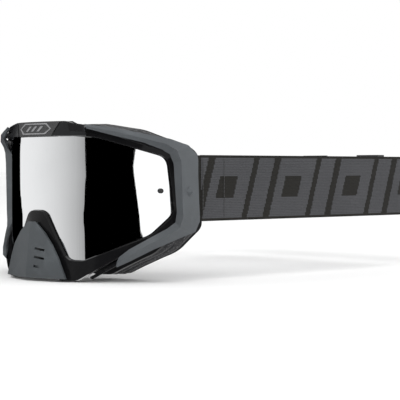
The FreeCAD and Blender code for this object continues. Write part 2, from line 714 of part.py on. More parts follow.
def strap_hardware(node, boxes, holes):
    """A flat loop standing across the strap: boxes in plan padded tall, openings between its rails."""
    body = new_body(node)
    pad(body, box_sketch(body, node + "_plan", "XY_Plane", boxes), FULL_TALL, "Block")
    last = None
    for n, hole in enumerate(holes):
        cutter = box_sketch(body, "%s_gap_%d" % (node, n + 1), "XY_Plane", [hole])
        last = pocket(body, cutter, OPEN_TALL, "Gap%d" % (n + 1))
    doc.recompute()
    body.Tip = last
    return body


ROD = "(%s * 2 - 2 * sizes.band_clear)" % round(WRAP_INNER, 4)
EDGE = "(sizes.joiner_half * sizes.width_pct / 100 + sizes.bar_width / 2)"
GAP_IN = "(sizes.joiner_half * sizes.width_pct / 100 - sizes.bar_width / 2)"
joiner = strap_hardware("strap_joiner", [("-" + EDGE, EDGE, "-%s / 2" % ROD, ROD + " / 2")], [
    ("-" + GAP_IN, "-1.2", "-6", "6"), ("1.2", GAP_IN, "-6", "6")])
softened(joiner, 1.2, lambda x, y: abs(x) > 2)
joiner.Placement = FreeCAD.Placement(Vector(0, WRAP_Y, 0), FreeCAD.Rotation())

TAIL_Y = WRAP_Y + WRAP_INNER + size.band_thick / 2
BAR_UP = round(TAIL_Y - size.band_thick / 2 - HOOP_INNER - BACK_Y, 4)
SLIDER_X = size.slider_place * WIDE
UNDER = "(sizes.band_thick / 2 + sizes.band_clear)"
HALF = "(sizes.slider_half + sizes.bar_width / 2)"
OVER = "(%s + sizes.bar_thick / 2)" % BAR_UP
FLOOR = "(%s - sizes.bar_thick / 2)" % BAR_UP
MID = "(sizes.bar_width / 2)"
for word, side in (("left", 1), ("right", -1)):
    slider = strap_hardware(word + "_slider", [("-" + HALF, HALF, "-%s - sizes.bar_thick" % UNDER, OVER)], [
        ("-" + HALF + " - 1", HALF + " + 1", "-" + UNDER, FLOOR),
        ("-" + HALF + " - 1", "-" + MID, FLOOR + " - 0.1", OVER + " + 1"),
        (MID, HALF + " + 1", FLOOR + " - 0.1", OVER + " + 1"),
        ("-(sizes.slider_half - sizes.bar_width / 2)", "sizes.slider_half - sizes.bar_width / 2",
         "-%s - sizes.bar_thick - 1" % UNDER, "-%s + 0.1" % UNDER)])
    softened(slider, 1.1, lambda x, y: abs(x) < 2 and y > 2)
    slider.Placement = FreeCAD.Placement(Vector(side * SLIDER_X, BACK_Y, 0), FreeCAD.Rotation())
    placed(word + "_tail_loop", hoop_solid(HOOP_INNER, size.fold_thick, HOOP_ARM, size.band_width),
           FreeCAD.Placement(Vector(side * (SLIDER_X + 0.25), BACK_Y + BAR_UP, 0),
                             FreeCAD.Rotation(Vector(0, 0, 1), side * 90)))
    first = size.joiner_half * WIDE + 5.6 + 0.6
    last = SLIDER_X + 0.25 - HOOP_ARM - 0.6
    tail = doc.addObject("Part::Box", word + "_tail")
    bind(tail, Width="sizes.fold_thick", Height="sizes.band_width")
    tail.Length = last - first
    tail.Placement = FreeCAD.Placement(Vector(first if side > 0 else -last, TAIL_Y - size.band_thick / 2,
                                              -size.band_width / 2), FreeCAD.Rotation())
    keep(tail, word + "_tail")

# ---------------------------------------------------------------- tear-off posts

for word, side in (("left", 1), ("right", -1)):
    body = new_body(word + "_tear_off_post")
    sketch = sketch_on(body, word + "_post_profile", "XZ_Plane")
    neck, head = size.post_neck / 2, size.post_width / 2
    rise = size.post_rise
    outline = [(0, 0.3), (neck, 0.3), (neck, 0.7), (head, 0.9), (head, rise - 0.5), (0, rise)]
    for a, b in zip(outline, outline[1:] + outline[:1]):
        sketch.addGeometry(Part.LineSegment(Vector(a[0], a[1], 0), Vector(b[0], b[1], 0)), False)
    count = len(outline)
    for k in range(count):
        sketch.addConstraint(Sketcher.Constraint("Coincident", k, 2, (k + 1) % count, 1))
    for k, (x, y) in enumerate(outline):
        for way, value in (("DistanceX", x), ("DistanceY", y)):
            sketch.addConstraint(Sketcher.Constraint(way, -1, 1, k, 1, value))
    for place, formula in ((2, "sizes.post_neck / 2"), (4, "sizes.post_neck / 2"), (6, "sizes.post_width / 2"),
                           (8, "sizes.post_width / 2"), (9, "sizes.post_rise - 0.5"), (11, "sizes.post_rise")):
        sketch.setExpression("Constraints[%d]" % (count + place), formula)
    turned = body.newObject("PartDesign::Revolution", "Turned")
    turned.Profile = sketch
    turned.ReferenceAxis = (sketch, ["V_Axis"])
    turned.Angle = 360
    spot = on_lens(side * size.post_arc, size.post_level, 0)
    ahead = (spot - Vector(0, LENS_AXIS, spot.z)).normalize()
    body.Placement = FreeCAD.Placement(spot, FreeCAD.Rotation(Vector(0, 0, 1), ahead))

# ---------------------------------------------------------------- checks and export

doc.recompute()
for thing in doc.Objects:
    if "Invalid" in thing.State or "Error" in thing.State:
        raise ValueError("%s did not recompute: %s" % (thing.Name, thing.State))
os.makedirs("parts", exist_ok=True)
for piece in PARTS:
    shape = piece.Shape
    if shape.isNull() or not shape.isValid() or len(shape.Solids) != 1:
        raise ValueError("%s is not one sound solid" % piece.Label)
    shape.exportStep("parts/%s.step" % piece.Label)
print("%d sub-parts written" % len(PARTS))
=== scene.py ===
"""Motocross goggles: the visual pieces, their materials and the studio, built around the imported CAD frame."""
import json
import math

import bmesh
import bpy
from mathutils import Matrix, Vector


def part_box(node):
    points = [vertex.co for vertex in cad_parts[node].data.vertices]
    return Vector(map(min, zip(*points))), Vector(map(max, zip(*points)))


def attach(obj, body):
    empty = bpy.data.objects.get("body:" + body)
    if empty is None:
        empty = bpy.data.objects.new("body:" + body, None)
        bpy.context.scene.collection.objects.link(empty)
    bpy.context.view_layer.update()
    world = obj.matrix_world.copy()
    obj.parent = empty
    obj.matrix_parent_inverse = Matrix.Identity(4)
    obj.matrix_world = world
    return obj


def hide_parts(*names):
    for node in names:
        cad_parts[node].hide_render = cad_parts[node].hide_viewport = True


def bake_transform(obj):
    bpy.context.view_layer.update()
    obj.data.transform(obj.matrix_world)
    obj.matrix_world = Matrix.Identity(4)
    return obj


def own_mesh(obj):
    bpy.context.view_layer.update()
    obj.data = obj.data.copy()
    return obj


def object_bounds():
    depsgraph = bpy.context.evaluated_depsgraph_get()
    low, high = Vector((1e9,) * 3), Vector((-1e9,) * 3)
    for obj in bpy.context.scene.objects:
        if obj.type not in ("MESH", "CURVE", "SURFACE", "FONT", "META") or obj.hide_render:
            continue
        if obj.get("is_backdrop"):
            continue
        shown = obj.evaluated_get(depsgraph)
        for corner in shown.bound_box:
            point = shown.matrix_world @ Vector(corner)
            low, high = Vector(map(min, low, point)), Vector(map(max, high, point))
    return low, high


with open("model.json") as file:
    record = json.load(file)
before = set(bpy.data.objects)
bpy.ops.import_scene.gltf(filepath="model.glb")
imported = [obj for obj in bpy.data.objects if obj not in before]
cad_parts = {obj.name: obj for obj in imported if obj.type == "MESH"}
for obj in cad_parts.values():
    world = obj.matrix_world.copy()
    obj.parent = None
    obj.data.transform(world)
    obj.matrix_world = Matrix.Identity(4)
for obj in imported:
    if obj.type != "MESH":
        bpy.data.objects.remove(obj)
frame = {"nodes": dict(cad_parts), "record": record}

bl_info = {
    "name": "Motocross Goggles",
    "version": (1, 0, 0),
    "blender": (4, 5, 0),
    "location": "View3D > Sidebar > Goggles",
    "description": "Builds the lens, shells, foams and strap of a pair of motocross goggles",
    "category": "Object",
}

MM = 0.001
SIDES = (("left", 1), ("right", -1))
BODIES = frame["record"]["behaviour"]["bodies"]

# ------------ sizes shared with the frame, in millimetres
# Outlines are half lists of (sideways, height, rounding); shell edges are (along the lens, height, lift).

LENS_BEND, LENS_AXIS = 92.0, 32.0
FACE_BEND, FACE_AXIS = 105.0, 87.0
OPENING = [(26, 35.6, 30), (50, 33.6, 30), (96, 20.5, 9), (100.5, -17, 9), (85, -31, 20),
           (39.5, -48.6, 10), (28.2, -48.4, 9), (8, -15, 9)]
BEZEL_EDGE = [(26, 45.6, 14), (50, 39.0, 20), (99.6, 23.0, 8), (103.3, -22, 8), (86, -34, 20),
              (36, -62.4, 8), (23, -63.2, 4), (4.5, -25, 6)]
BEZEL_LIP = [2.6, 2.9, 3.4, 3.4, 3.0, 2.6, 2.6, 2.6]
BEZEL_RISE = [0.6, 1.8, 5.6, 5.5, 4.2, 4.4, 4.0, 4.0]
CUSHION = [(26, 44, 30), (50, 40, 30), (79, 27, 14), (80.5, -27.5, 12), (69.5, -43.5, 20),
           (40, -59.5, 9), (25, -59.5, 6), (6, -25, 8)]
CAVITY = [(25, 34.2, 30), (46, 32.6, 30), (72, 20.5, 12), (74.6, -21, 12), (64, -36, 16),
          (37, -49.5, 8), (30, -47, 6), (13, -15, 9)]
SHELL_LIP = [(43.6, 40.1, 4.9), (62, 35.2, 5.9), (80, 30.7, 6.9), (91.9, 25.9, 7.4), (96.7, 22.8, 7.6),
             (99, 16.7, 7.8), (101.1, -16, 7.8), (100.2, -22.6, 7.6), (95.4, -26.6, 6.9),
             (85.1, -32.4, 6.8), (71.6, -40.4, 6.8), (65, -45.7, 6.5)]
SHELL_CREASE = [(43.1, 41.6, 5.4), (62.4, 37.9, 8.0), (80, 33.4, 11.0), (93.7, 29.4, 13.6),
                (99.3, 25.4, 15.2), (101.7, 18, 16.0), (102.8, -18.8, 16.0), (101.3, -25.8, 14.8),
                (96.2, -30.1, 12.2), (84.8, -36.5, 9.2), (71.4, -45, 7.7), (64, -49.9, 6.9)]
SHELL_REAR = [(42.2, 43.2, 4.5), (62, 40.6, 5.8), (80, 36.7, 8), (97, 33, 9.5), (108.4, 28.9, 9),
              (115.9, 22.1, 6.1), (117.8, -22.4, 5.3), (114.3, -29.4, 6), (104, -33.3, 6.5),
              (86, -41.3, 5.6), (71.3, -49, 4.9), (63.3, -52.8, 4.4)]
BADGE = [(22.4, 45.4), (16.6, 35.5), (-16.6, 35.5), (-22.4, 45.4)]
BROW_PANEL = [(23.6, 45.4), (41.0, 42.9), (43.2, 35.6), (17.8, 35.6)]
BROW_RISE, BROW_THICK, BROW_LEAN, BROW_MIDDLE = 2.05, 1.6, 0.22, 41.0
PIN = (86.6, -4.0)
FLARE = math.radians(5.0)
BAND_OUT, BAND_START = 2.1, 12.25
FOLD_OUT, FOLD_START, FOLD_END, FOLD_THICK, FOLD_WIDTH = 0.5, 12.35, 36.0, 1.4, 43.0
LOOP_INNER, LOOP_BACK, LOOP_WIDTH, TAIL_WIDTH = 1.5, 7.25, 44.6, 45.0
BAND_CORNER, CORNER_RADIUS = (83.28, 209.35), 24.0
WRAP_CENTRE, WRAP_RADIUS, BAND_END = (12.1, 236.55), 3.2, 17.7
PLAIN_START = -60.0


# ------------ points on the curved surfaces

def on_lens(along, height, lift):
    """A point at an arc length from the lens's middle, a height, and a lift off its outer face."""
    turn, reach = along / LENS_BEND, LENS_BEND + lift
    return Vector((reach * math.sin(turn), LENS_AXIS - reach * math.cos(turn), height)) * MM


def on_face(across, height, lift):
    """A point a sideways distance from the middle, lifted forward off the surface that meets the face."""
    reach = FACE_BEND + lift
    return Vector((across, FACE_AXIS - math.sqrt(reach ** 2 - across ** 2), height)) * MM


def by_the_strap(out, back, side):
    """A plan point measured from a hinge pin: outward across the strap and back along it."""
    x = PIN[0] + out * math.cos(FLARE) + back * math.sin(FLARE)
    y = PIN[1] - out * math.sin(FLARE) + back * math.cos(FLARE)
    return side * x, y


def mirrored(corners):
    """A half list of corners with its mirror image after it, in order."""
    return corners + [(-c[0],) + tuple(c[1:]) for c in reversed(corners)]


def unit(a, b):
    length = math.hypot(a, b)
    return a / length, b / length


def grown(corners, by):
    """Corners pushed outward by a distance (inward when negative), keeping the outline's order."""
    full = mirrored(corners)
    moved = []
    for i in range(len(corners)):
        ax, ay, _ = full[i - 1]
        px, py, r = full[i]
        bx, by_, _ = full[(i + 1) % len(full)]
        n1 = unit(-(py - ay), px - ax)
        n2 = unit(-(by_ - py), bx - px)
        share = by / (1.0 + n1[0] * n2[0] + n1[1] * n2[1])
        convex = (px - ax) * (by_ - py) - (py - ay) * (bx - px) < 0
        moved.append((px + share * (n1[0] + n2[0]), py + share * (n1[1] + n2[1]),
                      max(r + (by if convex else -by), 1.0)))
    return moved


def outline(corners, extra=None, bend_steps=8, side_steps=12):
    """A closed outline with rounded corners, as (sideways, height, extra) samples."""
    full = mirrored(corners)
    extra = extra or [0.0] * len(corners)
    values = extra + extra[::-1]
    count = len(full)
    bends = []
    for i, (px, py, r) in enumerate(full):
        ax, ay, _ = full[i - 1]
        bx, by, _ = full[(i + 1) % count]
        u, v = unit(ax - px, ay - py), unit(bx - px, by - py)
        half = math.acos(max(-1.0, min(1.0, u[0] * v[0] + u[1] * v[1]))) / 2.0
        cut = min(r / math.tan(half), 0.46 * math.hypot(ax - px, ay - py),
                  0.46 * math.hypot(bx - px, by - py))
        start = (px + u[0] * cut, py + u[1] * cut)
        end = (px + v[0] * cut, py + v[1] * cut)
        bend = []
        for k in range(bend_steps + 1):
            f = k / bend_steps
            bend.append(((1 - f) ** 2 * start[0] + 2 * f * (1 - f) * px + f * f * end[0],
                         (1 - f) ** 2 * start[1] + 2 * f * (1 - f) * py + f * f * end[1], values[i]))
        bends.append(bend)
    samples = []
    for i, bend in enumerate(bends):
        samples += bend
        a, b = bend[-1], bends[(i + 1) % count][0]
        samples += [tuple(a[c] + (b[c] - a[c]) * k / side_steps for c in range(3))
                    for k in range(1, side_steps)]
    return samples


def flowing(points, steps):
    """Points on an even curve through the given ones, which keeps the runs between them straight."""
    pts = []
    for a, b in zip(points, points[1:]):
        a, b = Vector(a), Vector(b)
        pts += [a, a.lerp(b, 0.28), a.lerp(b, 0.72)]
    pts.append(Vector(points[-1]))
    pts = [pts[0] * 2 - pts[1]] + pts + [pts[-1] * 2 - pts[-2]]
    result = []
    for i in range(1, len(pts) - 2):
        knots = [0.0]
        for a, b in zip(pts[i - 1:i + 2], pts[i:i + 3]):
            knots.append(knots[-1] + (b - a).length ** 0.5)
        t0, t1, t2, t3 = knots
        for k in range(steps):
            t = t1 + (t2 - t1) * k / steps
            a1 = pts[i - 1].lerp(pts[i], (t - t0) / (t1 - t0))
            a2 = pts[i].lerp(pts[i + 1], (t - t1) / (t2 - t1))
            a3 = pts[i + 1].lerp(pts[i + 2], (t - t2) / (t3 - t2))
            b1, b2 = a1.lerp(a2, (t - t0) / (t2 - t0)), a2.lerp(a3, (t - t1) / (t3 - t1))
            result.append(b1.lerp(b2, (t - t1) / (t2 - t1)))
    return result + [pts[-2]]


# ------------ mesh helpers

def skin(bm, rows, looped=False, closed=False):
    """A row of vertices, extruded along the rows that follow it."""
    line = [bm.verts.new(p) for p in rows[0]]
    pairs = zip(line, line[1:] + (line[:1] if looped else []))
    edges = [bm.edges.new(pair) for pair in pairs]
    for row in rows[1:] + (rows[:1] if closed else []):
        made = bmesh.ops.extrude_edge_only(bm, edges=edges)["geom"]
        fresh = {tuple(v.co): v for v in made if isinstance(v, bmesh.types.BMVert)}
        line = [fresh[tuple(v.co)] for v in line]
        new = set(line)
        edges = [e for e in made if isinstance(e, bmesh.types.BMEdge) and new.issuperset(e.verts)]
        for vertex, point in zip(line, row):
            vertex.co = point
    bmesh.ops.remove_doubles(bm, verts=bm.verts[:], dist=1e-6)
    return bm


def flat_piece(bm, points, cut=2.0):
    """A flat face in the upright plane, sliced into narrow strips so that it can be bent."""
    bm.faces.new([bm.verts.new((x * MM, 0, z * MM)) for x, z in points])
    low, high = min(p[0] for p in points), max(p[0] for p in points)
    x = math.ceil(low / cut + 0.05) * cut
    while x < high - 0.05 * cut:
        bmesh.ops.bisect_plane(bm, geom=bm.verts[:] + bm.edges[:] + bm.faces[:], dist=1e-7,
                               plane_co=(x * MM, 0, 0), plane_no=(1, 0, 0))
        x += cut
    return bm


def bent(bm, surface, lift):
    """Lays a flat piece on a curved surface at a lift."""
    for v in bm.verts:
        v.co = surface(v.co.x / MM, v.co.z / MM, lift(v.co) if callable(lift) else lift)
    return bm


def crisp(mesh, degrees=32.0):
    """Smooth shading that stops at corners."""
    bm = bmesh.new()
    bm.from_mesh(mesh)
    for face in bm.faces:
        face.smooth = True
    for edge in bm.edges:
        edge.smooth = len(edge.link_faces) == 2 and edge.calc_face_angle(0.0) < math.radians(degrees)
    bm.to_mesh(mesh)
    bm.free()


def piece(name, bm, finish, outward=True, degrees=32.0):
    """Makes an object of a mesh, in place, with crisp corners, and with its faces turned outward if asked."""
    if outward:
        bmesh.ops.recalc_face_normals(bm, faces=bm.faces[:])
    mesh = bpy.data.meshes.new(name)
    bm.to_mesh(mesh)
    bm.free()
    crisp(mesh, degrees)
    mesh.materials.append(finish)
    made = bpy.data.objects.new(name, mesh)
    bpy.context.scene.collection.objects.link(made)
    return made


def soften(made, width, segments=2, degrees=32.0):
    """Rounds a piece's corners."""
    bevel = made.modifiers.new("soft_edges", "BEVEL")
    bevel.width = width * MM
    bevel.segments = segments
    bevel.limit_method = "ANGLE"
    bevel.angle_limit = math.radians(degrees)
    bevel.harden_normals = True
    bevel.use_clamp_overlap = True
    return made


def thicken(made, wall, offset=-1.0):
    """Gives a sheet its thickness, inward from its faces, or both ways at an offset of 0."""
    solid = made.modifiers.new("wall", "SOLIDIFY")
    solid.thickness = wall * MM
    solid.offset = offset
    solid.use_even_offset = True
    return made


def body_with(node):
    """The name of the body that a CAD node belongs to."""
    return next(body for body, nodes in BODIES.items() if node in nodes)


def belongs(made, node):
    """The piece rides with the body of a CAD node, beside it."""
    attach(made, body_with(node))
    return made


def stands_for(made, node):
    """The piece replaces a CAD node, which it hides, and rides where it rode."""
    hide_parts(node)
    return belongs(made, node)


def bends_behind(made):
    """Bakes the piece's placing into its mesh."""
    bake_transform(made)


def copy_of(node, finish, round_by=0.25, degrees=30.0, segments=2):
    """A merged copy of a CAD node with its corners rounded, standing in for it."""
    bm = bmesh.new()
    bm.from_mesh(frame["nodes"][node].data)
    bmesh.ops.remove_doubles(bm, verts=bm.verts[:], dist=2e-6)
    bmesh.ops.dissolve_limit(bm, angle_limit=math.radians(0.6), verts=bm.verts[:], edges=bm.edges[:])
    made = piece(node + "_finished", bm, finish, outward=False)
    soften(made, round_by, segments, degrees)
    return stands_for(made, node)


# ------------ material helpers

class Finish:
    """A material being put together: short ways to add and join its nodes."""

    def __init__(self, name, **sockets):
        self.material = bpy.data.materials.new(name)
        self.material.use_nodes = True
        self.tree = self.material.node_tree
        self.shader = self.tree.nodes["Principled BSDF"]
        for key, value in sockets.items():
            self.shader.inputs[key.replace("_", " ")].default_value = value
        self.place = self.add("ShaderNodeTexCoord").outputs["Object"]

    def add(self, kind, inputs=None, **settings):
        node = self.tree.nodes.new(kind)
        for key, value in settings.items():
            setattr(node, key, value)
        for key, value in (inputs or {}).items():
            if isinstance(value, bpy.types.NodeSocket):
                self.tree.links.new(value, node.inputs[key])
            else:
                node.inputs[key].default_value = value
        return node

    def join(self, out, socket):
        self.tree.links.new(out, self.shader.inputs[socket])

    def stretched(self, across, along):
        """Object coordinates scaled for marks that run upright."""
        inputs = {"Vector": self.place, "Scale": (across, across, along)}
        return self.add("ShaderNodeMapping", inputs).outputs[0]

    def noise(self, scale, detail=3.0, roughness=0.55, place=None):
        inputs = {"Vector": place or self.place, "Scale": scale, "Detail": detail, "Roughness": roughness}
        return self.add("ShaderNodeTexNoise", inputs).outputs["Fac"]

    def cells(self, scale):
        return self.add("ShaderNodeTexVoronoi", {"Vector": self.place, "Scale": scale}).outputs["Distance"]

    def math(self, kind, a, b=0.0, c=0.0):
        return self.add("ShaderNodeMath", {0: a, 1: b, 2: c}, operation=kind).outputs[0]

    def times(self, a, b):
        return self.math("MULTIPLY", a, b)

    def ripple(self, value, rate, shift=0.0):
        """Even rounded ridges along a value."""
        turn = self.math("ADD", self.times(value, rate), shift)
        return self.math("ABSOLUTE", self.math("SINE", turn))

    def span(self, value, low, high, to_low, to_high):
        node = self.add("ShaderNodeMapRange", {"Value": value, "From Min": low, "From Max": high,
                                               "To Min": to_low, "To Max": to_high})
        return node.outputs["Result"]

    def ramp(self, value, stops, step=False):
        node = self.add("ShaderNodeValToRGB", {"Fac": value})
        node.color_ramp.interpolation = "CONSTANT" if step else "LINEAR"
        elements = node.color_ramp.elements
        elements.remove(elements[1])
        for n, (where, colour) in enumerate(stops):
            element = elements.new(where) if n else elements[0]
            element.position = where
            element.color = tuple(colour) + (1.0,)
        return node.outputs["Color"]

    def dimmed(self, tone, by):
        """A tone multiplied by a brightness."""
        grey = self.add("ShaderNodeCombineColor", {0: by, 1: by, 2: by}).outputs[0]
        return self.mix(1.0, tone, grey, "MULTIPLY")

    def mix(self, share, one, two, blend="MIX"):
        """A blend of two tones, each a colour or another node's output."""
        one, two = (tone if isinstance(tone, bpy.types.NodeSocket) else tuple(tone) + (1.0,)
                    for tone in (one, two))
        node = self.add("ShaderNodeMix", {0: share, 6: one, 7: two}, data_type="RGBA", blend_type=blend)
        return node.outputs[2]

    def edge_wear_and_highlight(self):
        # Convex edges, where both painted highlight and rubbed wear go.
        return self.span(self.add("ShaderNodeNewGeometry").outputs["Pointiness"], 0.52, 0.6, 0.0, 1.0)

    def bump(self, height, distance, strength=1.0, under=None):
        inputs = {"Height": height, "Distance": distance, "Strength": strength}
        if under is not None:
            inputs["Normal"] = under
        return self.add("ShaderNodeBump", inputs).outputs["Normal"]

    def colour(self, out):
        self.join(out, "Base Color")

    def relief(self, out):
        self.join(out, "Normal")


def shade(colour, by):
    """A colour made darker or lighter."""
    return tuple(min(1.0, c * by) for c in colour)


def moulded(name, colour, rough, grain=2600.0, depth=0.00005, wear_and_highlight=0.3, coat=0.0):
    """Injection-moulded plastic: fine spark-eroded grain, faint mottling, paler edges that are rubbed wear and
    painted highlight.
    """
    f = Finish(name, Coat_Weight=coat, Coat_Roughness=0.12, Specular_IOR_Level=0.26)
    mottle = f.noise(38.0, 4.0)
    tone = f.mix(f.span(mottle, 0.3, 0.7, 0.0, 1.0), shade(colour, 0.9), shade(colour, 1.1))
    speck = f.span(f.noise(1700.0, 2.0), 0.56, 0.68, 0.0, 0.35)
    tone = f.mix(speck, tone, shade(colour, 1.35))
    # Painted highlight and rubbed wear: convex edges made paler in random patches.
    rub_and_highlight = f.times(f.edge_wear_and_highlight(), f.span(f.noise(160.0, 4.0), 0.4, 0.65, 0.0, wear_and_highlight))
    f.colour(f.mix(rub_and_highlight, tone, shade(colour, 1.9)))
    streaks = f.noise(90.0, 5.0)
    f.join(f.span(streaks, 0.3, 0.7, rough - 0.06, rough + 0.07), "Roughness")
    fine = f.bump(f.noise(grain, 2.0), depth, 0.5)
    f.relief(f.bump(f.noise(120.0, 2.0), 0.00008, 0.15, fine))
    return f.material


def gloss_black(name, colour, rough=0.1, gleam=0.12):
    """Polished black plastic: slight flow waviness, faint dust haze and hairline scratches."""
    f = Finish(name, Coat_Weight=0.06, Coat_Roughness=0.04, Specular_IOR_Level=gleam)
    haze = f.noise(55.0, 5.0)
    f.colour(f.mix(f.span(haze, 0.45, 0.75, 0.0, 0.35), colour, shade(colour, 2.2)))
    lines = f.span(f.noise(1.0, 3.0, 0.6, f.stretched(60.0, 1400.0)), 0.62, 0.7, 0.0, 1.0)
    dull = f.span(haze, 0.3, 0.7, rough - 0.03, rough + 0.06)
    f.join(f.math("ADD", dull, f.times(lines, 0.08)), "Roughness")
    f.relief(f.bump(f.noise(45.0, 2.0), 0.0003, 0.12))
    return f.material


def mirror_coating(name, tint):
    """A silver mirror coating over a smoked lens: hard, clean, with barely visible smears."""
    f = Finish(name, Metallic=1.0, Coat_Weight=0.3, Coat_Roughness=0.02)
    smear = f.noise(26.0, 4.0)
    f.colour(f.mix(f.span(smear, 0.4, 0.7, 0.0, 1.0), tint, shade(tint, 0.96)))
    f.join(f.span(smear, 0.35, 0.75, 0.012, 0.045), "Roughness")
    f.relief(f.bump(f.noise(9.0, 1.0), 0.0004, 0.03))
    return f.material


def foam(name, colour, cell, depth, sheen=0.15):
    """Cut open-cell foam: small round cells, with painted shade in their hollows."""
    f = Finish(name, Roughness=0.92, Sheen_Weight=sheen, Sheen_Roughness=0.5, Specular_IOR_Level=0.15)
    coarse, fine = f.cells(cell), f.cells(cell * 2.3)
    both = f.math("MINIMUM", f.times(coarse, 1.1), f.math("ADD", fine, 0.12))
    hollow_depth_and_shade = f.span(both, 0.08, 0.5, 0.0, 1.0)
    patch = f.span(f.noise(70.0, 4.0), 0.3, 0.7, 0.82, 1.12)
    # Painted shade: the cell hollows darker than the rims between them.
    tone = f.mix(hollow_depth_and_shade, shade(colour, 1.1), shade(colour, 0.55))
    f.colour(f.dimmed(tone, patch))
    f.relief(f.bump(hollow_depth_and_shade, -depth, 0.8))
    return f.material


def fleece_cloth(name, colour):
    """Brushed fleece: a short nap laid in soft drifts."""
    f = Finish(name, Roughness=0.98, Sheen_Weight=0.7, Sheen_Roughness=0.4, Specular_IOR_Level=0.1,
               Sheen_Tint=(0.45, 0.45, 0.47, 1.0))
    drift = f.noise(110.0, 5.0, 0.65)
    nap = f.noise(1.0, 3.0, 0.7, f.stretched(2600.0, 700.0))
    tone = f.mix(f.span(drift, 0.3, 0.7, 0.0, 1.0), shade(colour, 0.7), shade(colour, 1.35))
    f.colour(f.mix(f.span(nap, 0.45, 0.75, 0.0, 0.4), tone, shade(colour, 2.4)))
    f.relief(f.bump(nap, 0.0004, 0.6, f.bump(drift, 0.0006, 0.35)))
    return f.material


RIB, PICK = 1.15, 0.95
PATTERN, PATTERN_START, PATTERN_LEAN = 62.0, 58.0, 0.30
PATTERN_HALF, SELVEDGE_HALF, SLOT_HALF = 20.7, 21.6, 7.0
BARS = [(0.04, 0.62), (0.70, 0.94)]
BAR_SLOT = (0.17, 0.43)


def webbing(name, ground, block):
    """Woven elastic webbing: ribs along its length, and a woven run of plain slanted blocks."""
    f = Finish(name, Roughness=0.86, Sheen_Weight=0.12, Sheen_Roughness=0.45, Specular_IOR_Level=0.25,
               Sheen_Tint=(0.5, 0.5, 0.5, 1.0))
    black, white = (0.0, 0.0, 0.0), (1.0, 1.0, 1.0)
    cloth = f.add("ShaderNodeSeparateXYZ", {0: f.add("ShaderNodeUVMap", uv_map="weave").outputs[0]})
    along, across = (f.times(cloth.outputs[n], 100.0) for n in (0, 1))
    rib, thread = f.math("DIVIDE", across, RIB), f.math("DIVIDE", along, PICK)
    along_step = f.times(f.math("FLOOR", thread), PICK)
    across_step = f.times(f.math("FLOOR", rib), RIB)
    lean = f.math("SUBTRACT", along_step, f.times(across_step, PATTERN_LEAN))
    share = f.math("FRACT", f.math("DIVIDE", f.math("ADD", lean, PATTERN_START), PATTERN))
    stops = [(where, tone) for bar in BARS for where, tone in zip(bar, (white, black))]
    bars = f.ramp(share, [(0.0, black)] + stops, step=True)
    slot = f.ramp(share, [(0.0, black)] + list(zip(BAR_SLOT, (white, black))), step=True)
    slot = f.times(slot, f.math("LESS_THAN", f.math("ABSOLUTE", across_step), SLOT_HALF))
    bars = f.times(bars, f.math("SUBTRACT", 1.0, slot))
    inside = f.math("LESS_THAN", f.math("ABSOLUTE", across), PATTERN_HALF)
    inside = f.times(inside, f.math("GREATER_THAN", along, 0.0))
    selvedge = f.math("GREATER_THAN", f.math("ABSOLUTE", across), SELVEDGE_HALF)
    odd = f.times(f.math("MODULO", f.math("FLOOR", rib), 2.0), math.pi / 2)
    over, round_rib = f.ripple(thread, math.pi, odd), f.ripple(rib, math.pi)
    height = f.math("ADD", f.times(round_rib, 0.65), f.times(over, 0.35))
    fuzz = f.noise(900.0)
    tone = f.mix(selvedge, f.mix(f.times(bars, inside), ground, block), shade(ground, 0.55))
    # Painted shade: the grooves between ribs and picks are darker and their crowns slightly lighter, times
    # random fuzz and patch tone.
    rib_shade_and_fuzz = f.times(f.span(height, 0.0, 1.0, 0.62, 1.12), f.span(fuzz, 0.3, 0.7, 0.88, 1.12))
    f.colour(f.dimmed(tone, f.times(rib_shade_and_fuzz, f.span(f.noise(28.0), 0.3, 0.7, 0.93, 1.07))))
    f.relief(f.bump(height, 0.00035, 0.8, f.bump(fuzz, 0.0001, 0.4)))
    return f.material


def badge_plastic(name, colour):
    """Fine cross-hatched grip texture over grey plastic."""
    f = Finish(name, Specular_IOR_Level=0.3)
    spun = f.add("ShaderNodeMapping", {"Vector": f.place, "Rotation": (0.0, math.radians(45.0), 0.0)})
    parts = f.add("ShaderNodeSeparateXYZ", {0: spun.outputs[0]})
    hatch_relief_and_shade = f.times(f.ripple(parts.outputs[0], 5200.0), f.ripple(parts.outputs[2], 5200.0))
    mottle = f.noise(300.0, 4.0)
    # Painted shade and highlight: the grooves of the hatch darker, its ridges lighter.
    tone = f.mix(hatch_relief_and_shade, shade(colour, 0.72), shade(colour, 1.22))
    f.colour(f.mix(f.span(mottle, 0.5, 0.75, 0.0, 0.5), tone, shade(colour, 1.5)))
    f.join(f.span(mottle, 0.3, 0.7, 0.42, 0.6), "Roughness")
    f.relief(f.bump(hatch_relief_and_shade, 0.00012, 0.6))
    return f.material


def bright_steel(name):
    """A drawn steel pin: lengthwise draw lines and small dull spots."""
    f = Finish(name, Metallic=1.0)
    lines = f.noise(1.0, 3.0, 0.6, f.stretched(3000.0, 90.0))
    spots = f.span(f.noise(420.0, 4.0), 0.55, 0.7, 0.0, 1.0)
    bright = f.ramp(lines, [(0.3, (0.42, 0.42, 0.43)), (0.7, (0.66, 0.66, 0.67))])
    f.colour(f.mix(spots, bright, (0.3, 0.29, 0.28)))
    f.join(f.span(lines, 0.3, 0.7, 0.2, 0.38), "Roughness")
    f.relief(f.bump(lines, 0.00003, 0.4))
    return f.material


